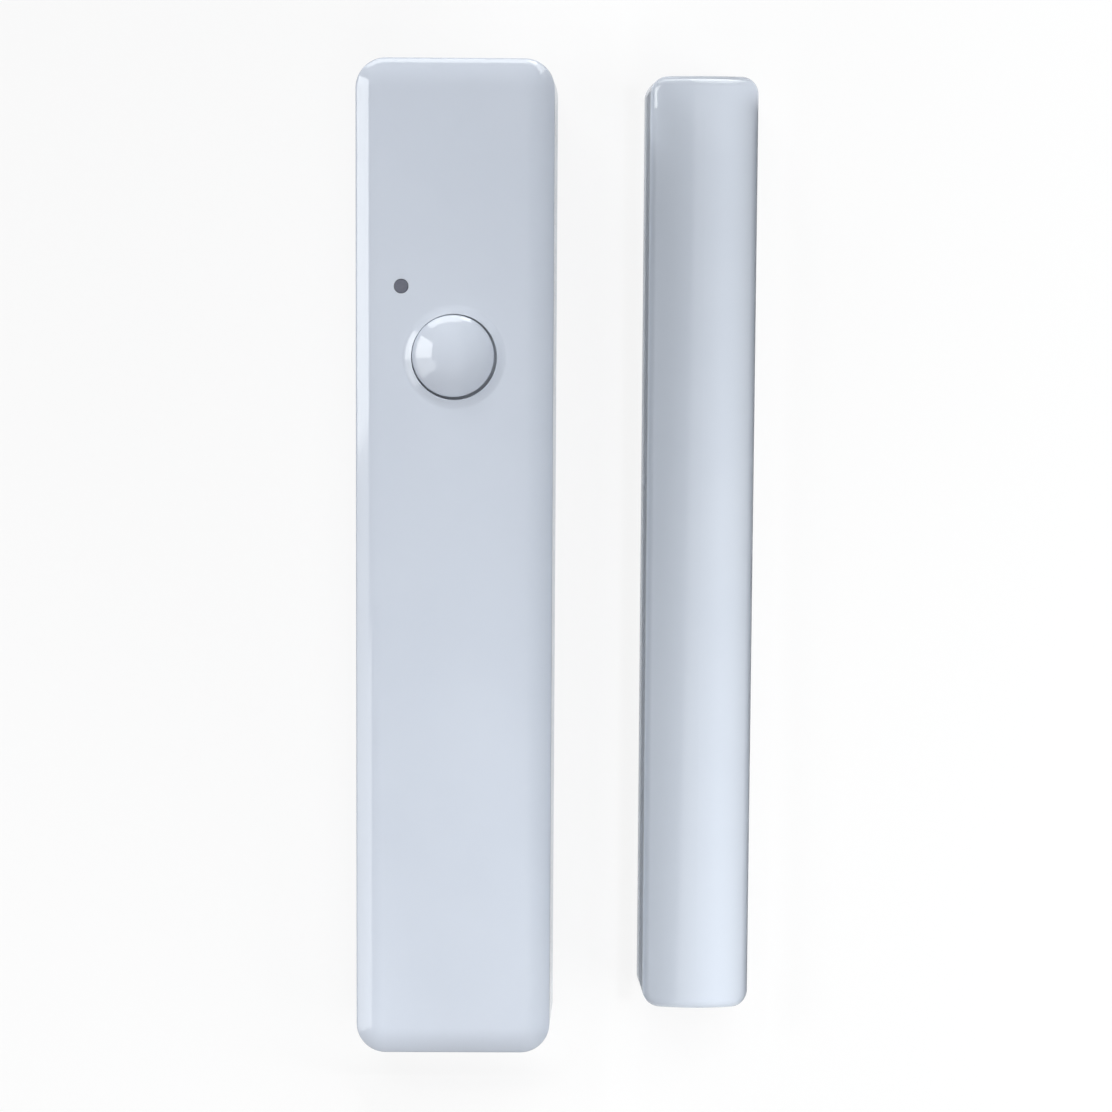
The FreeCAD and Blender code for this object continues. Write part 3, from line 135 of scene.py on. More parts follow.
def finish_form(form, name, material):
    """A piece from a bmesh, smooth but for its sharp edges."""
    bmesh.ops.remove_doubles(form, verts=form.verts, dist=1e-7)
    bmesh.ops.recalc_face_normals(form, faces=form.faces)
    mesh = bpy.data.meshes.new(name)
    form.to_mesh(mesh)
    form.free()
    mesh.shade_smooth()
    mesh.set_sharp_from_angle(angle=SHARP_ANGLE)
    mesh.materials.append(material)
    thing = bpy.data.objects.new(name, mesh)
    bpy.context.scene.collection.objects.link(thing)
    modifier = thing.modifiers.new("even_normals", "WEIGHTED_NORMAL")
    modifier.keep_sharp = True
    return thing


def turned(name, centre, profile, material, steps=128):
    """A closed turned piece.

    Its profile is (radius, height) points from the axis at the foot, out and up, back to the axis.
    """
    form = bmesh.new()
    rings = []
    for radius, height in profile:
        if radius == 0:
            rings.append(add_ring(form, [(*centre, height)]))
        else:
            rings.append(add_circle(form, centre, radius, height, steps))
    foot, *between, head = rings
    for index in range(steps):
        form.faces.new((foot[0], between[0][(index + 1) % steps], between[0][index]))
    join_rings(form, between)
    for index in range(steps):
        form.faces.new((between[-1][index], between[-1][(index + 1) % steps], head[0]))
    return finish_form(form, name, material)


def inner_faces(form, node, is_skin):
    """Carry over the faces of a CAD node that aren't part of its outer skin."""
    source = bmesh.new()
    source.from_mesh(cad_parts[node].data)
    bmesh.ops.remove_doubles(source, verts=source.verts, dist=2e-6)
    made = {}
    for face in source.faces:
        spots = [vert.co / MM for vert in face.verts]
        if is_skin(spots):
            continue
        corners = []
        for vert in face.verts:
            if vert.index not in made:
                made[vert.index] = form.verts.new(vert.co)
            corners.append(made[vert.index])
        form.faces.new(corners)
    source.free()


def inset_of(spot, centre, half, corner):
    """How far a place lies inside the unit's foot outline."""
    across = abs(spot[0] - centre[0]) - (half[0] - corner)
    along = abs(spot[1] - centre[1]) - (half[1] - corner)
    outside = math.hypot(max(across, 0), max(along, 0)) + min(max(across, along), 0)
    return corner - outside


def edge_profile():
    """Inset and height up the transmitter's wall, round the crease and over the arc to the face."""
    slope = math.tan(DRAFT)
    arc_inset, arc_height = EDGE_BAND, FACE - EDGE_ROUND
    # The height at which the crease's round leaves the wall, found by halving
    low, high = PARTING, FACE
    for _ in range(60):
        middle = (low + high) / 2
        inset = (middle - PARTING) * slope + CREASE * math.cos(DRAFT)
        height = middle - CREASE * math.sin(DRAFT)
        if math.hypot(inset - arc_inset, height - arc_height) < EDGE_ROUND - CREASE:
            low = middle
        else:
            high = middle
    foot = math.pi - DRAFT
    head = math.atan2(height - arc_height, inset - arc_inset)
    profile = [((level - PARTING) * slope, level) for level in (PARTING, 2.46, 3.5, 6.0, 9.0, 11.5)]
    for step in range(11):
        angle = foot + (head - foot) * step / 10
        profile.append((inset + CREASE * math.cos(angle), height + CREASE * math.sin(angle)))
    for step in range(1, 29):
        angle = head + (math.pi / 2 - head) * step / 28
        profile.append((arc_inset + EDGE_ROUND * math.cos(angle),
                        arc_height + EDGE_ROUND * math.sin(angle)))
    return profile + [(arc_inset + 0.15, FACE)]


def lip_profile():
    """Radius and height up the lip round the button hole, over its edge and down the bore."""
    lip_width, rise, edge = 1.1, 0.45, 0.04
    profile = [(BUTTON_HOLE + lip_width + 0.25, FACE), (BUTTON_HOLE + lip_width + 0.08, FACE)]
    for step in range(19):
        part = step / 18
        radius = BUTTON_HOLE + lip_width - part * (lip_width - edge)
        profile.append((radius, FACE + rise * part ** 1.5))
    for step in range(1, 9):
        angle = math.pi / 2 + step / 8 * math.pi / 2
        profile.append((BUTTON_HOLE + edge + edge * math.cos(angle),
                        FACE + rise - edge + edge * math.sin(angle)))
    return profile + [(BUTTON_HOLE, 13.6), (BUTTON_HOLE, CEILING)]


def sensor_cover(material):
    """The transmitter's front cover: a dense smooth skin on the CAD shell's inside."""
    profile = edge_profile()

    def skin_inset(height):
        """Inset of the outer skin at some height."""
        for (inset, low), (further, high) in zip(profile, profile[1:]):
            if low <= height <= high:
                return inset + (further - inset) * (height - low) / max(high - low, 1e-9)
        return EDGE_BAND

    def is_skin(spots):
        """Whether the CAD face with these corners is one that the dense skin stands for."""
        if min(spot.z for spot in spots) > FACE - ON_LEVEL:
            return True
        for centre, radius in ((BUTTON_AT, BUTTON_HOLE), (WINDOW_AT, WINDOW_HOLE)):
            if all(abs(math.hypot(spot.x - centre[0], spot.y - centre[1]) - radius) < ON_HOLE
                   and spot.z > CEILING - ON_LEVEL for spot in spots):
                return True
        if min(spot.z for spot in spots) < PARTING - ON_LEVEL:
            return False
        return all(
            inset_of(spot, (0, 0), SENSOR_HALF, SENSOR_CORNER) - skin_inset(spot.z) < ON_SENSOR
            or spot.z > FACE - ON_LEVEL for spot in spots
        )

    # The skin goes up the wall and over the edge, and down the two holes; the flat face joins them
    form = bmesh.new()
    inner_faces(form, "front_cover", is_skin)
    rings = []
    for inset, height in profile:
        corner = max(SENSOR_CORNER - inset, 0.05)
        half = (SENSOR_HALF[0] - inset, SENSOR_HALF[1] - inset)
        spots = outline(half, corner, corner_steps=20, end_steps=6, side_steps=24)
        rings.append(add_ring(form, [(*spot, height) for spot, _ in spots]))
    join_rings(form, rings)
    rims = ring_edges(form, rings[-1])
    window_profile = [(1.1, FACE), (0.90, FACE), (0.862, FACE - 0.015),
                      (WINDOW_HOLE, FACE - 0.05), (WINDOW_HOLE, CEILING)]
    for centre, hole_profile, steps in ((BUTTON_AT, lip_profile(), 128),
                                        (WINDOW_AT, window_profile, 48)):
        rings = [add_circle(form, centre, radius, height, steps) for radius, height in hole_profile]
        join_rings(form, rings)
        rims += ring_edges(form, rings[0])
    bmesh.ops.triangle_fill(form, edges=rims, use_beauty=True, normal=(0, 0, 1))
    return finish_form(form, "cover_shell", material)


magnet_outlines = {}


def magnet_outline(inset, steps):
    """The magnet unit's outline, set in by some distance, and kept for the next such call."""
    half = tuple(round(size - inset, 7) for size in MAGNET_HALF)
    corner = round(max(MAGNET_CORNER - inset, 0.2), 7)
    key = (half, corner, steps)
    if key not in magnet_outlines:
        magnet_outlines[key] = outline(half, corner, *steps)
    return magnet_outlines[key]


def magnet_cover(material):
    """The magnet unit's cover: drafted walls, rolled edge and a crown across the width."""
    slope = math.tan(DRAFT)
    steps = (14, 16, 60)

    # Centres of the rolled edge, each with its directions to the wall and to the crown
    inner = CROWN - MAGNET_ROUND
    balls = []
    for index in range(len(magnet_outline(0, steps))):
        height = CROWN_AXIS + inner
        for _ in range(12):
            wall_top = height + MAGNET_ROUND * math.sin(DRAFT)
            inset = (wall_top - PARTING) * slope + MAGNET_ROUND * math.cos(DRAFT)
            spot, out = magnet_outline(inset, steps)[index]
            height = CROWN_AXIS + math.sqrt(inner ** 2 - spot.x ** 2)
        wall = Vector((out.x * math.cos(DRAFT), out.y * math.cos(DRAFT), math.sin(DRAFT)))
        top = Vector((spot.x, 0, height - CROWN_AXIS)).normalized()
        balls.append((Vector((spot.x, spot.y, height)), wall, top))

    def is_skin(spots):
        """Whether the CAD face with these corners is one that the dense skin stands for."""
        for spot in spots:
            inset = inset_of(spot, MAGNET_AT, MAGNET_HALF, MAGNET_CORNER)
            crown_gap = CROWN - math.hypot(spot.x - MAGNET_AT[0], spot.z - CROWN_AXIS)
            wall_gap = inset - (spot.z - PARTING) * slope
            if min(crown_gap, wall_gap) > ON_MAGNET:
                return False
        return max(spot.z for spot in spots) > PARTING + ON_LEVEL

    # The skin goes up the wall, round the rolled edge and over the crown to a line along its top
    form = bmesh.new()
    inner_faces(form, "magnet_cover", is_skin)
    rings = []
    for part in (0, 0.01, 0.15, 0.4, 0.7, 1.0):
        points = []
        for index, (ball, wall, _) in enumerate(balls):
            top = ball.z + MAGNET_ROUND * wall.z
            height = PARTING + (top - PARTING) * part
            spot, _ = magnet_outline((height - PARTING) * slope, steps)[index]
            points.append(Vector((spot.x, spot.y, height)))
        rings.append(points)
    for step in range(1, 15):
        rings.append([ball + MAGNET_ROUND * wall.slerp(top, step / 14)
                      for ball, wall, top in balls])
    rolled = rings[-1]
    line_half = MAGNET_HALF[1] - 5.5
    nearest_line = 0.985
    for step in range(1, 13):
        part = step / 12 * nearest_line
        points = []
        for point in rolled:
            across = point.x * (1 - part)
            along = point.y + (max(-line_half, min(line_half, point.y)) - point.y) * part
            points.append(Vector((across, along, CROWN_AXIS + math.sqrt(CROWN ** 2 - across ** 2))))
        rings.append(points)
    rings = [add_ring(form, [(point.x + MAGNET_AT[0], point.y + MAGNET_AT[1], point.z)
                             for point in points]) for points in rings]
    join_rings(form, rings)
    rim = ring_edges(form, rings[-1])
    bmesh.ops.triangle_fill(form, edges=rim, use_beauty=True, normal=(0, 0, 1))
    return finish_form(form, "magnet_cover_shell", material)


def button_profile():
    """The push button from its post up the inside and down the outside, in one closed line."""
    cap, rim = 4.78, 14.55
    dome = 2.0
    radius = (cap ** 2 + dome ** 2) / (2 * dome)
    axis = rim + dome - radius
    edge = 0.07
    ball = (cap - edge, axis + math.sqrt((radius - edge) ** 2 - (cap - edge) ** 2))
    join = math.atan2(ball[1] - axis, ball[0])
    profile = [(0, 11.4), (1.6, 11.4), (1.75, 11.55), (1.75, 14.15), (1.85, 14.25), (3.5, 14.25),
               (3.6, 14.15), (3.6, 11.85), (5.62, 11.85), (5.7, 11.93), (5.7, 12.57), (5.62, 12.65),
               (4.7, 12.65), (4.7, 13.4)]
    for step in range(11):
        angle = join * step / 10
        profile.append((ball[0] + edge * math.cos(angle), ball[1] + edge * math.sin(angle)))
    for step in range(1, 26):
        angle = join + (math.pi / 2 - join) * step / 26
        profile.append((radius * math.cos(angle), axis + radius * math.sin(angle)))
    return profile + [(0, rim + dome)]


# Materials; every pattern is worked out in the object's own space
class Surface:
    """A node material that is put together call by call."""

    def __init__(self, name):
        self.material = bpy.data.materials.new(name)
        self.material.use_nodes = True
        self.tree = self.material.node_tree
        self.tree.nodes.clear()
        self.out = self.tree.nodes.new("ShaderNodeOutputMaterial")
        self.shader = self.tree.nodes.new("ShaderNodeBsdfPrincipled")
        self.tree.links.new(self.shader.outputs[0], self.out.inputs["Surface"])
        self.place = self.tree.nodes.new("ShaderNodeTexCoord").outputs["Object"]
        self.bump = None

    def node(self, kind, **settings):
        """A node with its properties and its unlinked sockets set."""
        made = self.tree.nodes.new("ShaderNode" + kind)
        for key, setting in settings.items():
            if hasattr(made, key):
                setattr(made, key, setting)
            else:
                made.inputs[key].default_value = setting
        return made

    def link(self, source, node, socket):
        """Join an output to an input of a node."""
        self.tree.links.new(source, node.inputs[socket])

    def stretched(self, scale):
        """The object's space, scaled along each axis."""
        mapping = self.node("Mapping", Scale=scale)
        self.link(self.place, mapping, "Vector")
        return mapping.outputs[0]

    def noise(self, scale, detail=3.0, rough=0.5, space=None):
        """Soft cloudy noise."""
        made = self.node("TexNoise", Scale=scale, Detail=detail, Roughness=rough)
        self.link(space or self.place, made, "Vector")
        return made.outputs[0]

    def cells(self, scale):
        """Distance to the nearest of scattered points."""
        made = self.node("TexVoronoi", Scale=scale)
        self.link(self.place, made, "Vector")
        return made.outputs["Distance"]

    def wave(self, scale, direction):
        """Slightly wavy bands across one axis."""
        made = self.node("TexWave", bands_direction=direction, Scale=scale, Distortion=0.4)
        self.link(self.place, made, "Vector")
        return made.outputs[1]

    def ramp(self, value, stops):
        """Colours along a value."""
        made = self.node("ValToRGB")
        band = made.color_ramp
        while len(band.elements) < len(stops):
            band.elements.new(0.5)
        for element, (spot, colour) in zip(band.elements, stops):
            element.position = spot
            element.color = (*colour, 1)
        self.link(value, made, 0)
        return made.outputs[0]

    def spread(self, value, low, high, start=0.0, end=1.0):
        """A value mapped from one range to another."""
        made = self.node("MapRange")
        made.inputs[1].default_value = start
        made.inputs[2].default_value = end
        made.inputs[3].default_value = low
        made.inputs[4].default_value = high
        self.link(value, made, 0)
        return made.outputs[0]

    def mix(self, factor, first, second, blend="MIX"):
        """Two colours or values mixed."""
        made = self.node("Mix", data_type="RGBA", blend_type=blend)
        for source, socket in ((factor, 0), (first, 6), (second, 7)):
            if isinstance(source, (int, float)):
                made.inputs[socket].default_value = source
            elif isinstance(source, tuple):
                made.inputs[socket].default_value = (*source, 1)
            else:
                self.tree.links.new(source, made.inputs[socket])
        return made.outputs[2]

    def math(self, kind, first, second):
        """One value worked out from two."""
        made = self.node("Math", operation=kind)
        for socket, source in enumerate((first, second)):
            if isinstance(source, (int, float)):
                made.inputs[socket].default_value = source
            else:
                self.tree.links.new(source, made.inputs[socket])
        return made.outputs[0]

    def relief(self, height, distance, strength=1.0):
        """Bump, on top of what is there; the distance is in metres."""
        made = self.node("Bump", Strength=strength, Distance=distance)
        self.link(height, made, "Height")
        if self.bump:
            self.link(self.bump, made, "Normal")
        self.bump = made.outputs[0]
        self.link(self.bump, self.shader, "Normal")

    def colour(self, source):
        self.link(source, self.shader, "Base Color")

    def roughness(self, source):
        self.link(source, self.shader, "Roughness")

    def set(self, **settings):
        """Plain values of the shader."""
        for key, setting in settings.items():
            self.shader.inputs[key.replace("_", " ")].default_value = setting


def gloss_white(name, low, high):
    """Polished moulded plastic: cool white, a slow drift of tint, a trace of orange peel."""
    made = Surface(name)
    drift = made.noise(55, 3, 0.55)
    made.colour(made.ramp(drift, [(0.3, low), (0.7, high)]))
    made.roughness(made.spread(made.noise(900, 4, 0.6), 0.055, 0.10, 0.3, 0.7))
    made.relief(made.noise(260, 2, 0.4), 0.000010, 0.35)
    made.relief(made.noise(5200, 2, 0.5), 0.0000008, 0.3)
    made.set(IOR=1.5)
    return made.material


def matte_white():
    """Spark-eroded moulded plastic."""
    made = Surface("matte_white_plastic")
    grain = made.noise(5200, 4, 0.65)
    shade = made.noise(140, 3)
    made.colour(made.ramp(shade, [(0.3, (0.66, 0.70, 0.76)), (0.7, (0.72, 0.76, 0.82))]))
    made.roughness(made.spread(grain, 0.42, 0.58, 0.3, 0.7))
    made.relief(grain, 0.000022, 0.8)
    made.relief(made.cells(7600), 0.000010, 0.6)
    return made.material


def smoked():
    """Dark translucent light pipe."""
    made = Surface("smoked_plastic")
    shade = made.noise(1500, 3)
    made.colour(made.ramp(shade, [(0.3, (0.122, 0.129, 0.168)), (0.7, (0.142, 0.150, 0.192))]))
    made.roughness(made.spread(made.noise(5200, 3), 0.16, 0.30))
    made.relief(made.noise(7000, 2), 0.000004, 0.5)
    made.set(IOR=1.49)
    return made.material


def foam():
    """Closed-cell foam tape."""
    made = Surface("foam_tape")
    cells = made.cells(4200)
    small = made.cells(9800)
    made.colour(made.ramp(cells, [(0.0, (0.50, 0.52, 0.53)), (0.35, (0.70, 0.72, 0.73)),
                                  (1.0, (0.80, 0.81, 0.82))]))
    made.roughness(made.spread(small, 0.75, 0.95))
    made.relief(cells, 0.00012, 0.9)
    made.relief(small, 0.00005, 0.7)
    made.relief(made.noise(300, 3), 0.00012, 0.5)
    return made.material


def laminate():
    """Circuit board: green mask over a glass weave, with copper runs showing through."""
    made = Surface("board_laminate")
    weave = made.math("MULTIPLY", made.wave(520, "X"), made.wave(520, "Y"))
    runs = made.node("TexBrick", offset=0.37, squash=1.6, squash_frequency=3)
    runs.inputs["Scale"].default_value = 330
    runs.inputs["Mortar Size"].default_value = 0.09
    runs.inputs["Mortar Smooth"].default_value = 0.15
    runs.inputs["Color1"].default_value = (0.012, 0.115, 0.040, 1)
    runs.inputs["Color2"].default_value = (0.010, 0.095, 0.034, 1)
    runs.inputs["Mortar"].default_value = (0.040, 0.230, 0.085, 1)
    made.link(made.place, runs, "Vector")
    threads = made.ramp(weave, [(0, (0.008, 0.080, 0.030)), (1, (0.022, 0.150, 0.055))])
    made.colour(made.mix(0.35, runs.outputs[0], threads))
    made.roughness(made.spread(weave, 0.22, 0.38))
    made.relief(runs.outputs[1], 0.00002, 0.7)
    made.relief(weave, 0.000008, 0.6)
    return made.material


def black_plastic():
    """Moulded plastic of chips, switches and connectors."""
    made = Surface("black_plastic")
    grain = made.noise(6500, 4, 0.6)
    shade = made.noise(700, 3)
    made.colour(made.ramp(shade, [(0.3, (0.014, 0.014, 0.016)), (0.7, (0.030, 0.030, 0.033))]))
    made.roughness(made.spread(grain, 0.42, 0.66))
    made.relief(grain, 0.000015, 0.8)
    return made.material


def ferrite():
    """Sintered, ground and slightly chipped at the edges."""
    made = Surface("ferrite")
    grain = made.noise(9000, 5, 0.7)
    ground = made.noise(1.0, 2, 0.5, made.stretched((9000, 500, 9000)))
    made.colour(made.ramp(grain, [(0.25, (0.030, 0.030, 0.034)), (0.75, (0.085, 0.085, 0.092))]))
    made.roughness(made.spread(ground, 0.40, 0.72))
    made.relief(ground, 0.00002, 0.7)
    made.relief(grain, 0.00001, 0.7)
    made.set(Metallic=0.25)
    return made.material


def metal(name, dark, light, low, high, along=(2500, 2500, 2500)):
    """Metal with fine drawn or rolled streaks and a slow tarnish."""
    made = Surface(name)
    streaks = made.noise(1.0, 4, 0.6, made.stretched(along))
    tarnish = made.noise(420, 4, 0.6)
    made.colour(made.ramp(tarnish, [(0.25, dark), (0.75, light)]))
    made.roughness(made.spread(streaks, low, high, 0.25, 0.75))
    made.relief(streaks, 0.000006, 0.8)
    made.set(Metallic=1.0)
    return made.material


def copper_wire():
    """Lacquered copper."""
    made = Surface("copper_wire")
    lacquer = made.noise(2600, 3, 0.6)
    made.colour(made.ramp(lacquer, [(0.3, (0.50, 0.165, 0.060)), (0.7, (0.72, 0.270, 0.110))]))
    made.roughness(made.spread(lacquer, 0.16, 0.32))
    made.relief(made.noise(5200, 2), 0.000006, 0.6)
    made.set(Metallic=1.0, Coat_Weight=0.6, Coat_Roughness=0.12)
    return made.material


def clear_glass():
    """Drawn glass tube, faintly rippled."""
    made = Surface("clear_glass")
    ripple = made.noise(900, 3, 0.5)
    made.colour(made.ramp(ripple, [(0.2, (0.80, 0.90, 0.86)), (0.8, (0.90, 0.96, 0.94))]))
    made.roughness(made.spread(ripple, 0.02, 0.07))
    made.relief(ripple, 0.00001, 0.5)
    made.set(Transmission_Weight=0.9, IOR=1.5)
    return made.material


def cell_sleeve():
    """Foil sleeve of the cell: grey, a blue band at the positive end, bare metal at both ends."""
    made = Surface("cell_sleeve")
    spot = made.node("SeparateXYZ")
    made.link(made.place, spot, 0)
    foot, head = -0.0466, -0.0021
    length = made.spread(spot.outputs[1], 0, 1, foot, head)
    fine = made.noise(3200, 3, 0.5)
    bare, sleeve, line, band, cap = ((0.42, 0.42, 0.42), (0.16, 0.17, 0.18), (0.62, 0.63, 0.64),
                                     (0.03, 0.10, 0.26), (0.45, 0.45, 0.45))
    body = made.ramp(length, [(0.0, bare), (0.018, bare), (0.022, sleeve), (0.70, sleeve),
                              (0.705, line), (0.715, band), (0.955, band), (0.960, cap)])
    flecks = made.ramp(fine, [(0.3, (0.2, 0.2, 0.2)), (0.7, (0.9, 0.9, 0.9))])
    made.colour(made.mix(0.12, body, flecks, "OVERLAY"))
    made.roughness(made.spread(fine, 0.20, 0.36))
    made.relief(made.noise(1.0, 3, 0.5, made.stretched((2400, 160, 2400))), 0.00001, 0.6)
    made.set(Metallic=0.55)
    return made.material


def led_plastic():
    """Yellowish resin of the light-emitting diode."""
    made = Surface("led_plastic")
    flecks = made.cells(4200)
    made.colour(made.ramp(flecks, [(0.2, (0.80, 0.72, 0.42)), (0.8, (0.86, 0.82, 0.62))]))
    made.roughness(made.spread(flecks, 0.22, 0.40))
    made.relief(flecks, 0.00001, 0.5)
    return made.material


def tamper_plastic():
    """Natural acetal of the tamper plunger."""
    made = Surface("tamper_plastic")
    grain = made.noise(4800, 3, 0.6)
    shade = made.noise(600, 3)
    made.colour(made.ramp(shade, [(0.3, (0.57, 0.57, 0.54)), (0.7, (0.63, 0.63, 0.60))]))
    made.roughness(made.spread(grain, 0.36, 0.55))
    made.relief(grain, 0.000012, 0.8)
    return made.material


gloss = gloss_white("gloss_white_plastic", (0.655, 0.708, 0.800), (0.680, 0.732, 0.822))
finishes = {
    "gloss_white_plastic": gloss,
    "matte_white_plastic": matte_white(),
    "smoked_plastic": smoked(),
    "led_plastic": led_plastic(),
    "foam_tape": foam(),
    "board_laminate": laminate(),
    "black_plastic": black_plastic(),
    "ferrite": ferrite(),
    "plated_steel": metal("plated_steel", (0.52, 0.53, 0.54), (0.70, 0.71, 0.72), 0.20, 0.36),
    "aluminium_can": metal("aluminium_can", (0.66, 0.66, 0.67), (0.78, 0.78, 0.79), 0.24, 0.40,
                           (900, 900, 5200)),
    "copper_wire": copper_wire(),
    "clear_glass": clear_glass(),
    "cell_sleeve": cell_sleeve(),
    "spring_steel": metal("spring_steel", (0.46, 0.46, 0.47), (0.62, 0.62, 0.63), 0.18, 0.34),
    "tamper_plastic": tamper_plastic(),
    "zinc_steel": metal("zinc_steel", (0.48, 0.49, 0.50), (0.66, 0.66, 0.64), 0.26, 0.44),
}
for name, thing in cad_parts.items():
    for holder in thing.material_slots:
        holder.material = finishes[holder.material.name.split(".")[0]]

# Pieces that stand for CAD nodes, with denser and smoother forms
cover = sensor_cover(gloss)
magnet = magnet_cover(gloss)
button = turned("button_cap", CAP_AT, button_profile(), gloss)
pipe = turned("window_pipe", WINDOW_AT, [
    (0, 7.4), (0.72, 7.4), (0.8, 7.48), (0.8, 12.0), (1.45, 12.0), (1.5, 12.05), (1.5, 12.75),
    (1.45, 12.8), (0.8, 12.8), (0.8, 14.12), (0.782, 14.165), (0.735, 14.19), (0.6, 14.195),
    (0.3, 14.2), (0, 14.2),
], finishes["smoked_plastic"], 64)
for piece, node, body, finish in (
    (cover, "front_cover", "root", "gloss_white_plastic"),
    (magnet, "magnet_cover", "root", "gloss_white_plastic"),
    (button, "push_button", "button", "gloss_white_plastic"),
    (pipe, "light_pipe", "root", "smoked_plastic"),
):
    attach(piece, body)
    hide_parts(node)


def seen_rays(tree, gloss=1.0):
    """One for the camera's rays, also through glass, a share for gloss, and nought for the rest."""
    path = tree.nodes.new("ShaderNodeLightPath")
    part = tree.nodes.new("ShaderNodeMath")
    part.operation = "MULTIPLY"
    part.inputs[1].default_value = gloss
    tree.links.new(path.outputs["Is Glossy Ray"], part.inputs[0])
    value = path.outputs["Is Camera Ray"]
    for other in (part.outputs[0], path.outputs["Is Transmission Ray"]):
        most = tree.nodes.new("ShaderNodeMath")
        most.operation = "MAXIMUM"
        tree.links.new(value, most.inputs[0])
        tree.links.new(other, most.inputs[1])
        value = most.outputs[0]
    return value


# Floor: white where it is seen, with the object's shadow kept
FLOOR_WHITE = 0.86
FLOOR_GLOSS = 0.3
bpy.ops.mesh.primitive_plane_add(size=6, location=(0, 0, 0))
floor = bpy.context.object
floor.name = "floor"
ground = bpy.data.materials.new("floor_white")
ground.use_nodes = True
tree = ground.node_tree
tree.nodes.clear()
share = tree.nodes.new("ShaderNodeMath")
share.operation = "MULTIPLY"
share.inputs[1].default_value = FLOOR_WHITE
tree.links.new(seen_rays(tree, FLOOR_GLOSS), share.inputs[0])
lit = tree.nodes.new("ShaderNodeBsdfDiffuse")
lit.inputs["Color"].default_value = (0.85, 0.85, 0.85, 1)
glow = tree.nodes.new("ShaderNodeEmission")
blend = tree.nodes.new("ShaderNodeMixShader")
tree.links.new(share.outputs[0], blend.inputs[0])
tree.links.new(lit.outputs[0], blend.inputs[1])
tree.links.new(glow.outputs[0], blend.inputs[2])
output = tree.nodes.new("ShaderNodeOutputMaterial")
tree.links.new(blend.outputs[0], output.inputs["Surface"])
floor.data.materials.append(ground)

# World: white where it is seen, a soft cool light elsewhere
world = bpy.data.worlds.new("studio")
bpy.context.scene.world = world
world.use_nodes = True
sky = world.node_tree
sky.nodes.clear()
behind = sky.nodes.new("ShaderNodeBackground")
behind.inputs["Color"].default_value = (1, 1, 1, 1)
soft = sky.nodes.new("ShaderNodeBackground")
soft.inputs["Color"].default_value = (0.955, 0.93, 1.0, 1)
soft.inputs["Strength"].default_value = 0.22
choose = sky.nodes.new("ShaderNodeMixShader")
sky.links.new(seen_rays(sky), choose.inputs[0])
sky.links.new(soft.outputs[0], choose.inputs[1])
sky.links.new(behind.outputs[0], choose.inputs[2])
sky_out = sky.nodes.new("ShaderNodeOutputWorld")
sky.links.new(choose.outputs[0], sky_out.inputs["Surface"])


def lamp(name, place, target, size, power, diffuse=True, glossy=True):
    """A rectangular soft light aimed at a point; places in metres."""
    light = bpy.data.lights.new(name, "AREA")
    light.shape = "RECTANGLE"
    light.size, light.size_y = size
    light.energy = power
    light.color = (0.98, 1.0, 0.99)
    thing = bpy.data.objects.new(name, light)
    thing.location = place
    thing.rotation_euler = (Vector(target) - Vector(place)).to_track_quat("-Z", "Y").to_euler()
    thing.visible_camera = False
    thing.visible_diffuse = diffuse
    thing.visible_glossy = glossy
    bpy.context.scene.collection.objects.link(thing)


# Each lamp: its name, its place, the point it faces, its size and its power
# Soft light from the upper end, above, the right and over the low end, and a little in the gap
SOFT_LAMPS = (
    ("soft_key", (-0.17, 0.45, 0.26), (0.0, 0.02, 0.01), (0.26, 0.24), 1.52),
    ("soft_low_end", (0.01, -0.070, 0.16), (0.01, -0.055, 0.01), (0.10, 0.07), 0.108),
    ("soft_above", (0.13, 0.0, 0.34), (0.03, 0.0, 0.01), (0.24, 0.30), 0.11),
    ("soft_right", (0.30, -0.045, 0.215), (0.03, 0.0, 0.01), (0.24, 0.20), 1.01),
    ("soft_gap", (0.0165, 0.0, 0.006), (0.0, 0.0, 0.006), (0.11, 0.006), 0.0006),
    ("soft_magnet_gap", (0.0203, 0.0, 0.0115), (0.03, 0.0, 0.0115), (0.11, 0.003), 0.00042),
)
# Windows that only show as reflections
WINDOWS = (
    ("window_left", (-0.50, 0.16, 0.30), (0.0, 0.16, 0.30), (0.34, 0.44), 2.9),
    ("window_left_low", (-0.50, -0.175, 0.30), (0.0, -0.175, 0.30), (0.33, 0.44), 1.0),
    ("window_left_end", (-0.50, -0.22, 0.38), (0.0, -0.22, 0.38), (0.24, 0.60), 1.25),
    ("window_far_left", (-0.235, 0.60, 0.10), (-0.235, 0.0, 0.10), (0.53, 0.20), 1.57),
    ("window_far_right", (0.14, 0.60, 0.10), (0.14, 0.0, 0.10), (0.22, 0.20), 0.65),
    ("window_magnet_end", (0.050, 0.13, 0.055), (0.050, 0.0, 0.055), (0.058, 0.08), 0.062),
)
for row in SOFT_LAMPS:
    lamp(*row, glossy=False)
for row in WINDOWS:
    lamp(*row, diffuse=False)


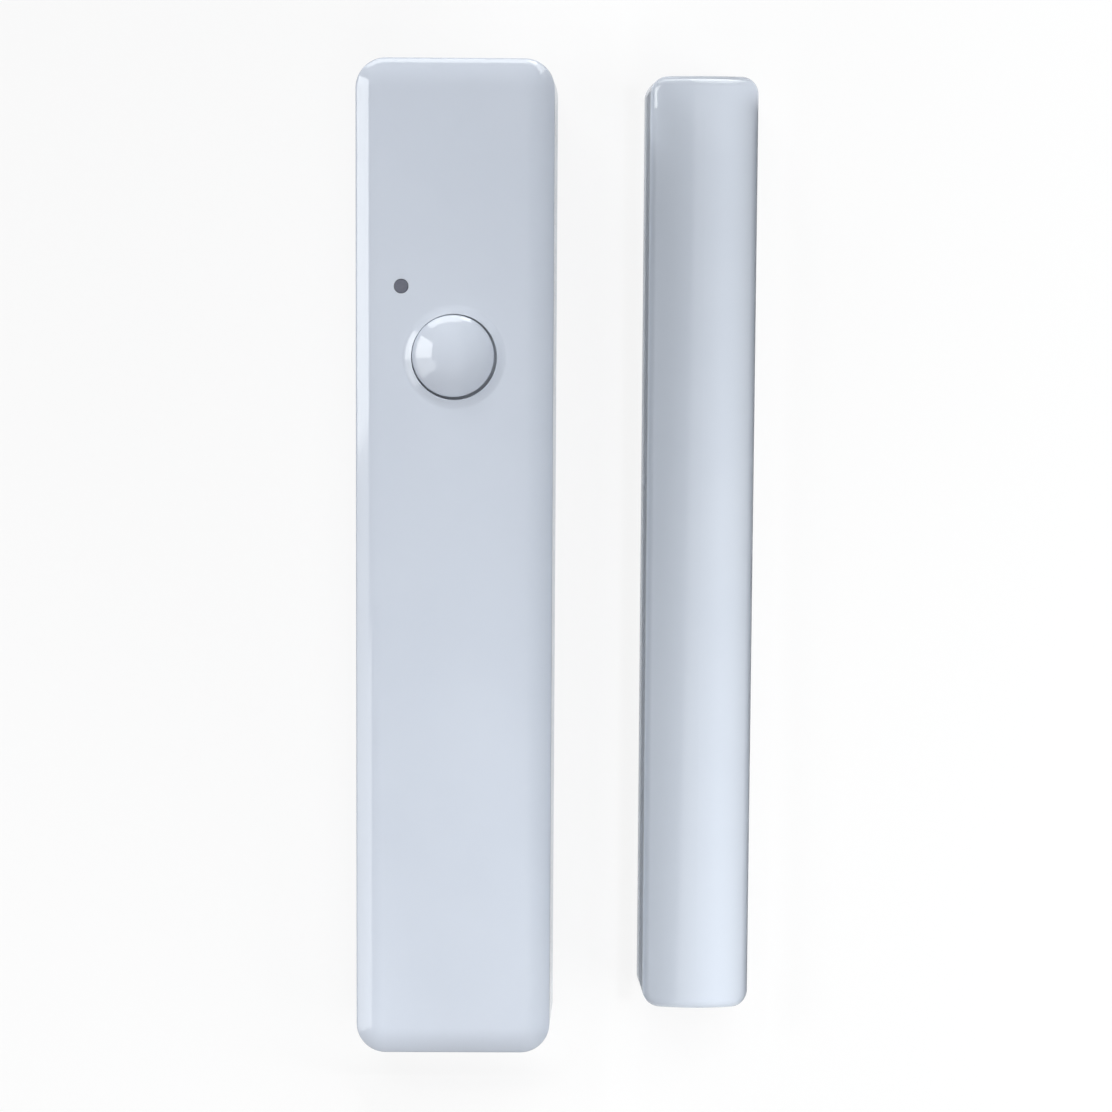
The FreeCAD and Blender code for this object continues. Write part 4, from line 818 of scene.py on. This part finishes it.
def card(name, corners, tone, shade=True):
    """A studio card beside the units, unseen by the camera; corners in mm."""
    form = bmesh.new()
    form.faces.new([form.verts.new(Vector(spot) * MM) for spot in corners])
    mesh = bpy.data.meshes.new(name)
    form.to_mesh(mesh)
    form.free()
    thing = bpy.data.objects.new(name, mesh)
    bpy.context.scene.collection.objects.link(thing)
    paper = bpy.data.materials.new(name)
    paper.use_nodes = True
    shader = paper.node_tree.nodes["Principled BSDF"]
    shader.inputs["Base Color"].default_value = (tone, tone, tone, 1)
    mesh.materials.append(paper)
    thing.visible_camera = False
    thing.visible_shadow = shade


# They shade the magnet unit's long edges and the low end, and return light to the transmitter
CARD_EDGE = ((54, 16.2), (63, 16.2), (63, 22), (120, 30), (120, 84), (40, 86), (0, 66), (-70, 34))
for name, across, foot, tone in (("card_light", 19.6, 12, 0.7), ("card_dark", 20.0, 15, 0.03)):
    corners = [(across, along, height) for along, height in ((-70, foot), (54, foot), *CARD_EDGE)]
    card(name, corners, tone)
card("card_grey", ((20.0, -70, 11), (20.0, 54, 10), (20.0, 54, 15), (20.0, -70, 15)), 0.35)
card("card_right", ((39.5, -60, 6), (39.5, 54, 6), (39.5, 54, 15.2), (39.5, -60, 15.2)), 0.08)
card("card_foot", ((20.2, -56, 0.5), (22.0, -56, 0.5), (22.0, 57, 0.5), (20.2, 57, 0.5)), 0.25,
     shade=False)
card("card_low", ((-13.0, -66, 1), (13.0, -66, 1), (13.0, -66, 12), (-13.0, -66, 12)), 0.35)

# Camera where the photograph was taken from, about 300 mm above and a little towards the button end
lens = bpy.data.cameras.new("camera")
lens.sensor_width = 36
lens.lens = 78.9
lens.clip_start = 0.01
camera = bpy.data.objects.new("camera", lens)
roll, lean, tilt = (math.radians(angle) for angle in (0.341, -0.492, -5.037))
turn = (Matrix.Rotation(roll, 4, "Z") @ Matrix.Rotation(lean, 4, "Y")
        @ Matrix.Rotation(tilt, 4, "X"))
camera.matrix_world = Matrix.Translation((0.00943, 0.0263, 0.300)) @ turn
bpy.context.scene.collection.objects.link(camera)
bpy.context.scene.camera = camera
bpy.context.scene.view_settings.view_transform = "Standard"
